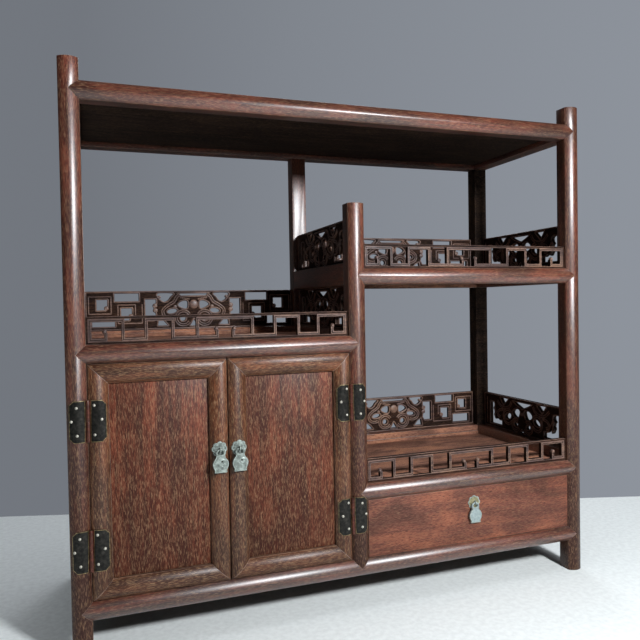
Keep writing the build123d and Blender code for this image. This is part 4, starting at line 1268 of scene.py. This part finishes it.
def hang_pendant(node, slot, eye, index):
    """A cast pendant: an oval ring and a flat body with a raised rim; the door's have curls."""
    place = upright(*eye)
    side = smooth_line(PENDANT_SIDE, 4) + [PENDANT_FOOT]
    border = side + flipped(side[::-1])
    curled = index == ALONG_X
    body = pierced_plate([border, oval(*PENDANT_HOLE)] if curled else [border],
                         PENDANT_THICKNESS - 2 * BODY_SETBACK, PENDANT_EASE, index, place)
    finish_mesh(body, node, "body", slot, angle=CARVED_ANGLE)

    rings = []
    for turn in turns(RING_SEGMENTS):
        reach = RING_DROP * RING_HALF_WIDTH / math.hypot(RING_HALF_WIDTH * math.cos(turn),
                                                         RING_DROP * math.sin(turn))
        high = (1 + math.cos(turn)) / 2
        bar = RING_BAR_FOOT + (RING_BAR_TOP - RING_BAR_FOOT) * high ** 1.5
        rings.append((reach, turn, bar, min(bar, PENDANT_THICKNESS / 2)))
    solid = bmesh.new()
    torus(solid, eye - Vector((0, 0, RING_DROP)), Vector((0, -1, 0)), rings, index)
    finish_mesh(outward(solid), node, "ring", slot, instead=False)

    radius = sizes().pendant_rim / MM
    crest = PENDANT_THICKNESS / 2 - radius
    rim = offset_loop(border, -radius * BEAD_INSET)
    paths = [(at_depth(rim, depth), True) for depth in (-crest, crest)]
    if curled:
        paths += [(at_depth(smooth_line(curl, 4), crest), False) for curl in PENDANT_CURLS]
    beads(node, "rim", paths, radius, RIM_CORNER, slot, place)


# ---- stage

FLOOR_BACK, FLOOR_SLOPE = 0.283, -0.305     # the cloth's back edge: y in metres at x = 0, and slope
WEAVE = 6.0                # mm: drawn coarser than the real threads
WORLD_LIGHT = 0.045
WALL_PAINTED_LIGHT = ((0.0, 0.78), (0.28, 1.0), (0.7, 1.24))     # painted light on the backdrop: its brightness, left to right, lighter towards the right as if lit from there
# Each lamp: place and size in metres, watts, colour.
LAMPS = {"key": ((0.28, -0.98, 0.68), 0.12, 16.0, "#f8fbff"),
         "fill": ((-1.3, -1.7, 0.7), 0.9, 0.8, "#eef3ff"),
         "top": ((-0.1, 0.3, 2.0), 1.6, 19.0, "#f4f8ff"),
         "back": ((0.7, 1.7, 1.7), 0.7, 7.0, "#f4f6ff")}
LAMP_TARGET = Vector((0, 0, 0.28))
CAMERA_PLACE = (-0.27992, -0.76789, 0.33872)
CAMERA_YAW, CAMERA_PITCH, CAMERA_ROLL = 19.61, 1.43, -1.02     # degrees
CAMERA_LENS = 36.909


class CABINET_OT_stage(bpy.types.Operator):
    """Floor, backdrop, lamps and camera"""

    bl_idname = "cabinet.stage"
    bl_label = "Stage"

    def execute(self, context):
        make_floor()
        make_world()
        make_lamps()
        make_camera()
        context.scene.view_settings.view_transform = "Standard"
        return {"FINISHED"}


def make_floor():
    """A pale cloth under the cabinet, cut straight behind it."""
    disc = bmesh.new()
    bmesh.ops.create_circle(disc, cap_ends=True, radius=sizes().floor_radius, segments=96)
    bmesh.ops.bisect_plane(disc, geom=disc.verts[:] + disc.edges[:] + disc.faces[:],
                           plane_co=(0, FLOOR_BACK, 0), plane_no=(-FLOOR_SLOPE, 1, 0),
                           clear_outer=True)
    material, tree, place = new_material("pale_woven_cloth")
    weave = even_noise(tree, place, WEAVE, detail=3)
    paint = ramped(tree, weave, (0.35, tone(colours().cloth, 0.94)), (0.65, tone(colours().cloth, 1.04)))
    end_material(tree, paint, weave, strength=0.3, depth=1.0, values={"Roughness": 0.95})
    floor = solid_object(disc, "floor")
    floor.data.materials.append(material)


def make_world():
    """Faint light from all round, and a grey backdrop where the camera looks past the floor, painted
    lighter towards the right as if a lamp lit it from there.
    """
    world = bpy.data.worlds.new("studio")
    bpy.context.scene.world = world
    world.use_nodes = True
    tree = world.node_tree
    tree.nodes.clear()
    ahead = add_node(tree, "ShaderNodeTexCoord").outputs["Generated"]
    across = add_node(tree, "ShaderNodeSeparateXYZ", {"Vector": ahead}).outputs["X"]
    # painted light: the backdrop's grey grows lighter from left to right
    wall = ramped(tree, across, *((x, tone(colours().wall, light)) for x, light in WALL_PAINTED_LIGHT))
    lit, seen = (
        add_node(tree, "ShaderNodeBackground", {"Color": paint, "Strength": strength})
        for paint, strength in ((linear("#d9dde2"), WORLD_LIGHT), (wall, 1.0)))
    both = add_node(tree, "ShaderNodeMixShader", {
        "Fac": add_node(tree, "ShaderNodeLightPath").outputs["Is Camera Ray"],
        1: lit.outputs["Background"], 2: seen.outputs["Background"]})
    add_node(tree, "ShaderNodeOutputWorld", {"Surface": both.outputs["Shader"]})


def make_lamps():
    """A small lamp in front on the right, a faint fill, a wide one overhead and one behind."""
    for name, (place, size, watts, tint) in LAMPS.items():
        data = bpy.data.lights.new(name, "AREA")
        data.size = size
        data.energy = watts
        data.color = linear(tint)[:3]
        lamp = new_object(name, data)
        lamp.location = place
        lamp.rotation_euler = (LAMP_TARGET - Vector(place)).to_track_quat("-Z", "Y").to_euler()
        lamp.visible_camera = False
        lamp.visible_glossy = name != "top"     # its mirror image would whiten the boards


def make_camera():
    """A camera in front on the left, at shelf height, tipped slightly down."""
    yaw, pitch, roll = (math.radians(a) for a in (CAMERA_YAW, CAMERA_PITCH, CAMERA_ROLL))
    data = bpy.data.cameras.new("camera")
    data.lens = CAMERA_LENS
    camera = new_object("camera", data)
    camera.matrix_world = (
        Matrix.Translation(CAMERA_PLACE) @ Matrix.Rotation(-yaw, 4, "Z")
        @ Matrix.Rotation(math.pi / 2 - pitch, 4, "X") @ Matrix.Rotation(roll, 4, "Z"))
    bpy.context.scene.camera = camera


# ---- add-on


class CABINET_PT_panel(bpy.types.Panel):
    """Lists the cabinet's operators"""

    bl_label = "Cabinet"
    bl_space_type = "VIEW_3D"
    bl_region_type = "UI"
    bl_category = "Cabinet"

    def draw(self, context):
        for operator in OPERATORS:
            self.layout.operator(operator.bl_idname)


OPERATORS = (CABINET_OT_joinery, CABINET_OT_doors, CABINET_OT_scroll_galleries,
             CABINET_OT_cloud_galleries, CABINET_OT_fret_galleries, CABINET_OT_hinges,
             CABINET_OT_pulls, CABINET_OT_stage)
CLASSES = (CABINET_PG_sizes, CABINET_PG_colours, *OPERATORS, CABINET_PT_panel)


def register():
    for item in CLASSES:
        bpy.utils.register_class(item)
    bpy.types.Scene.cabinet_sizes = bpy.props.PointerProperty(type=CABINET_PG_sizes)
    bpy.types.Scene.cabinet_colours = bpy.props.PointerProperty(type=CABINET_PG_colours)


def unregister():
    del bpy.types.Scene.cabinet_colours
    del bpy.types.Scene.cabinet_sizes
    for item in reversed(CLASSES):
        bpy.utils.unregister_class(item)


def main():
    register()
    bpy.ops.cabinet.joinery()
    bpy.ops.cabinet.doors()
    bpy.ops.cabinet.scroll_galleries()
    bpy.ops.cabinet.cloud_galleries()
    bpy.ops.cabinet.fret_galleries()
    bpy.ops.cabinet.hinges()
    bpy.ops.cabinet.pulls()
    bpy.ops.cabinet.stage()


if __name__ == "__main__":
    main()
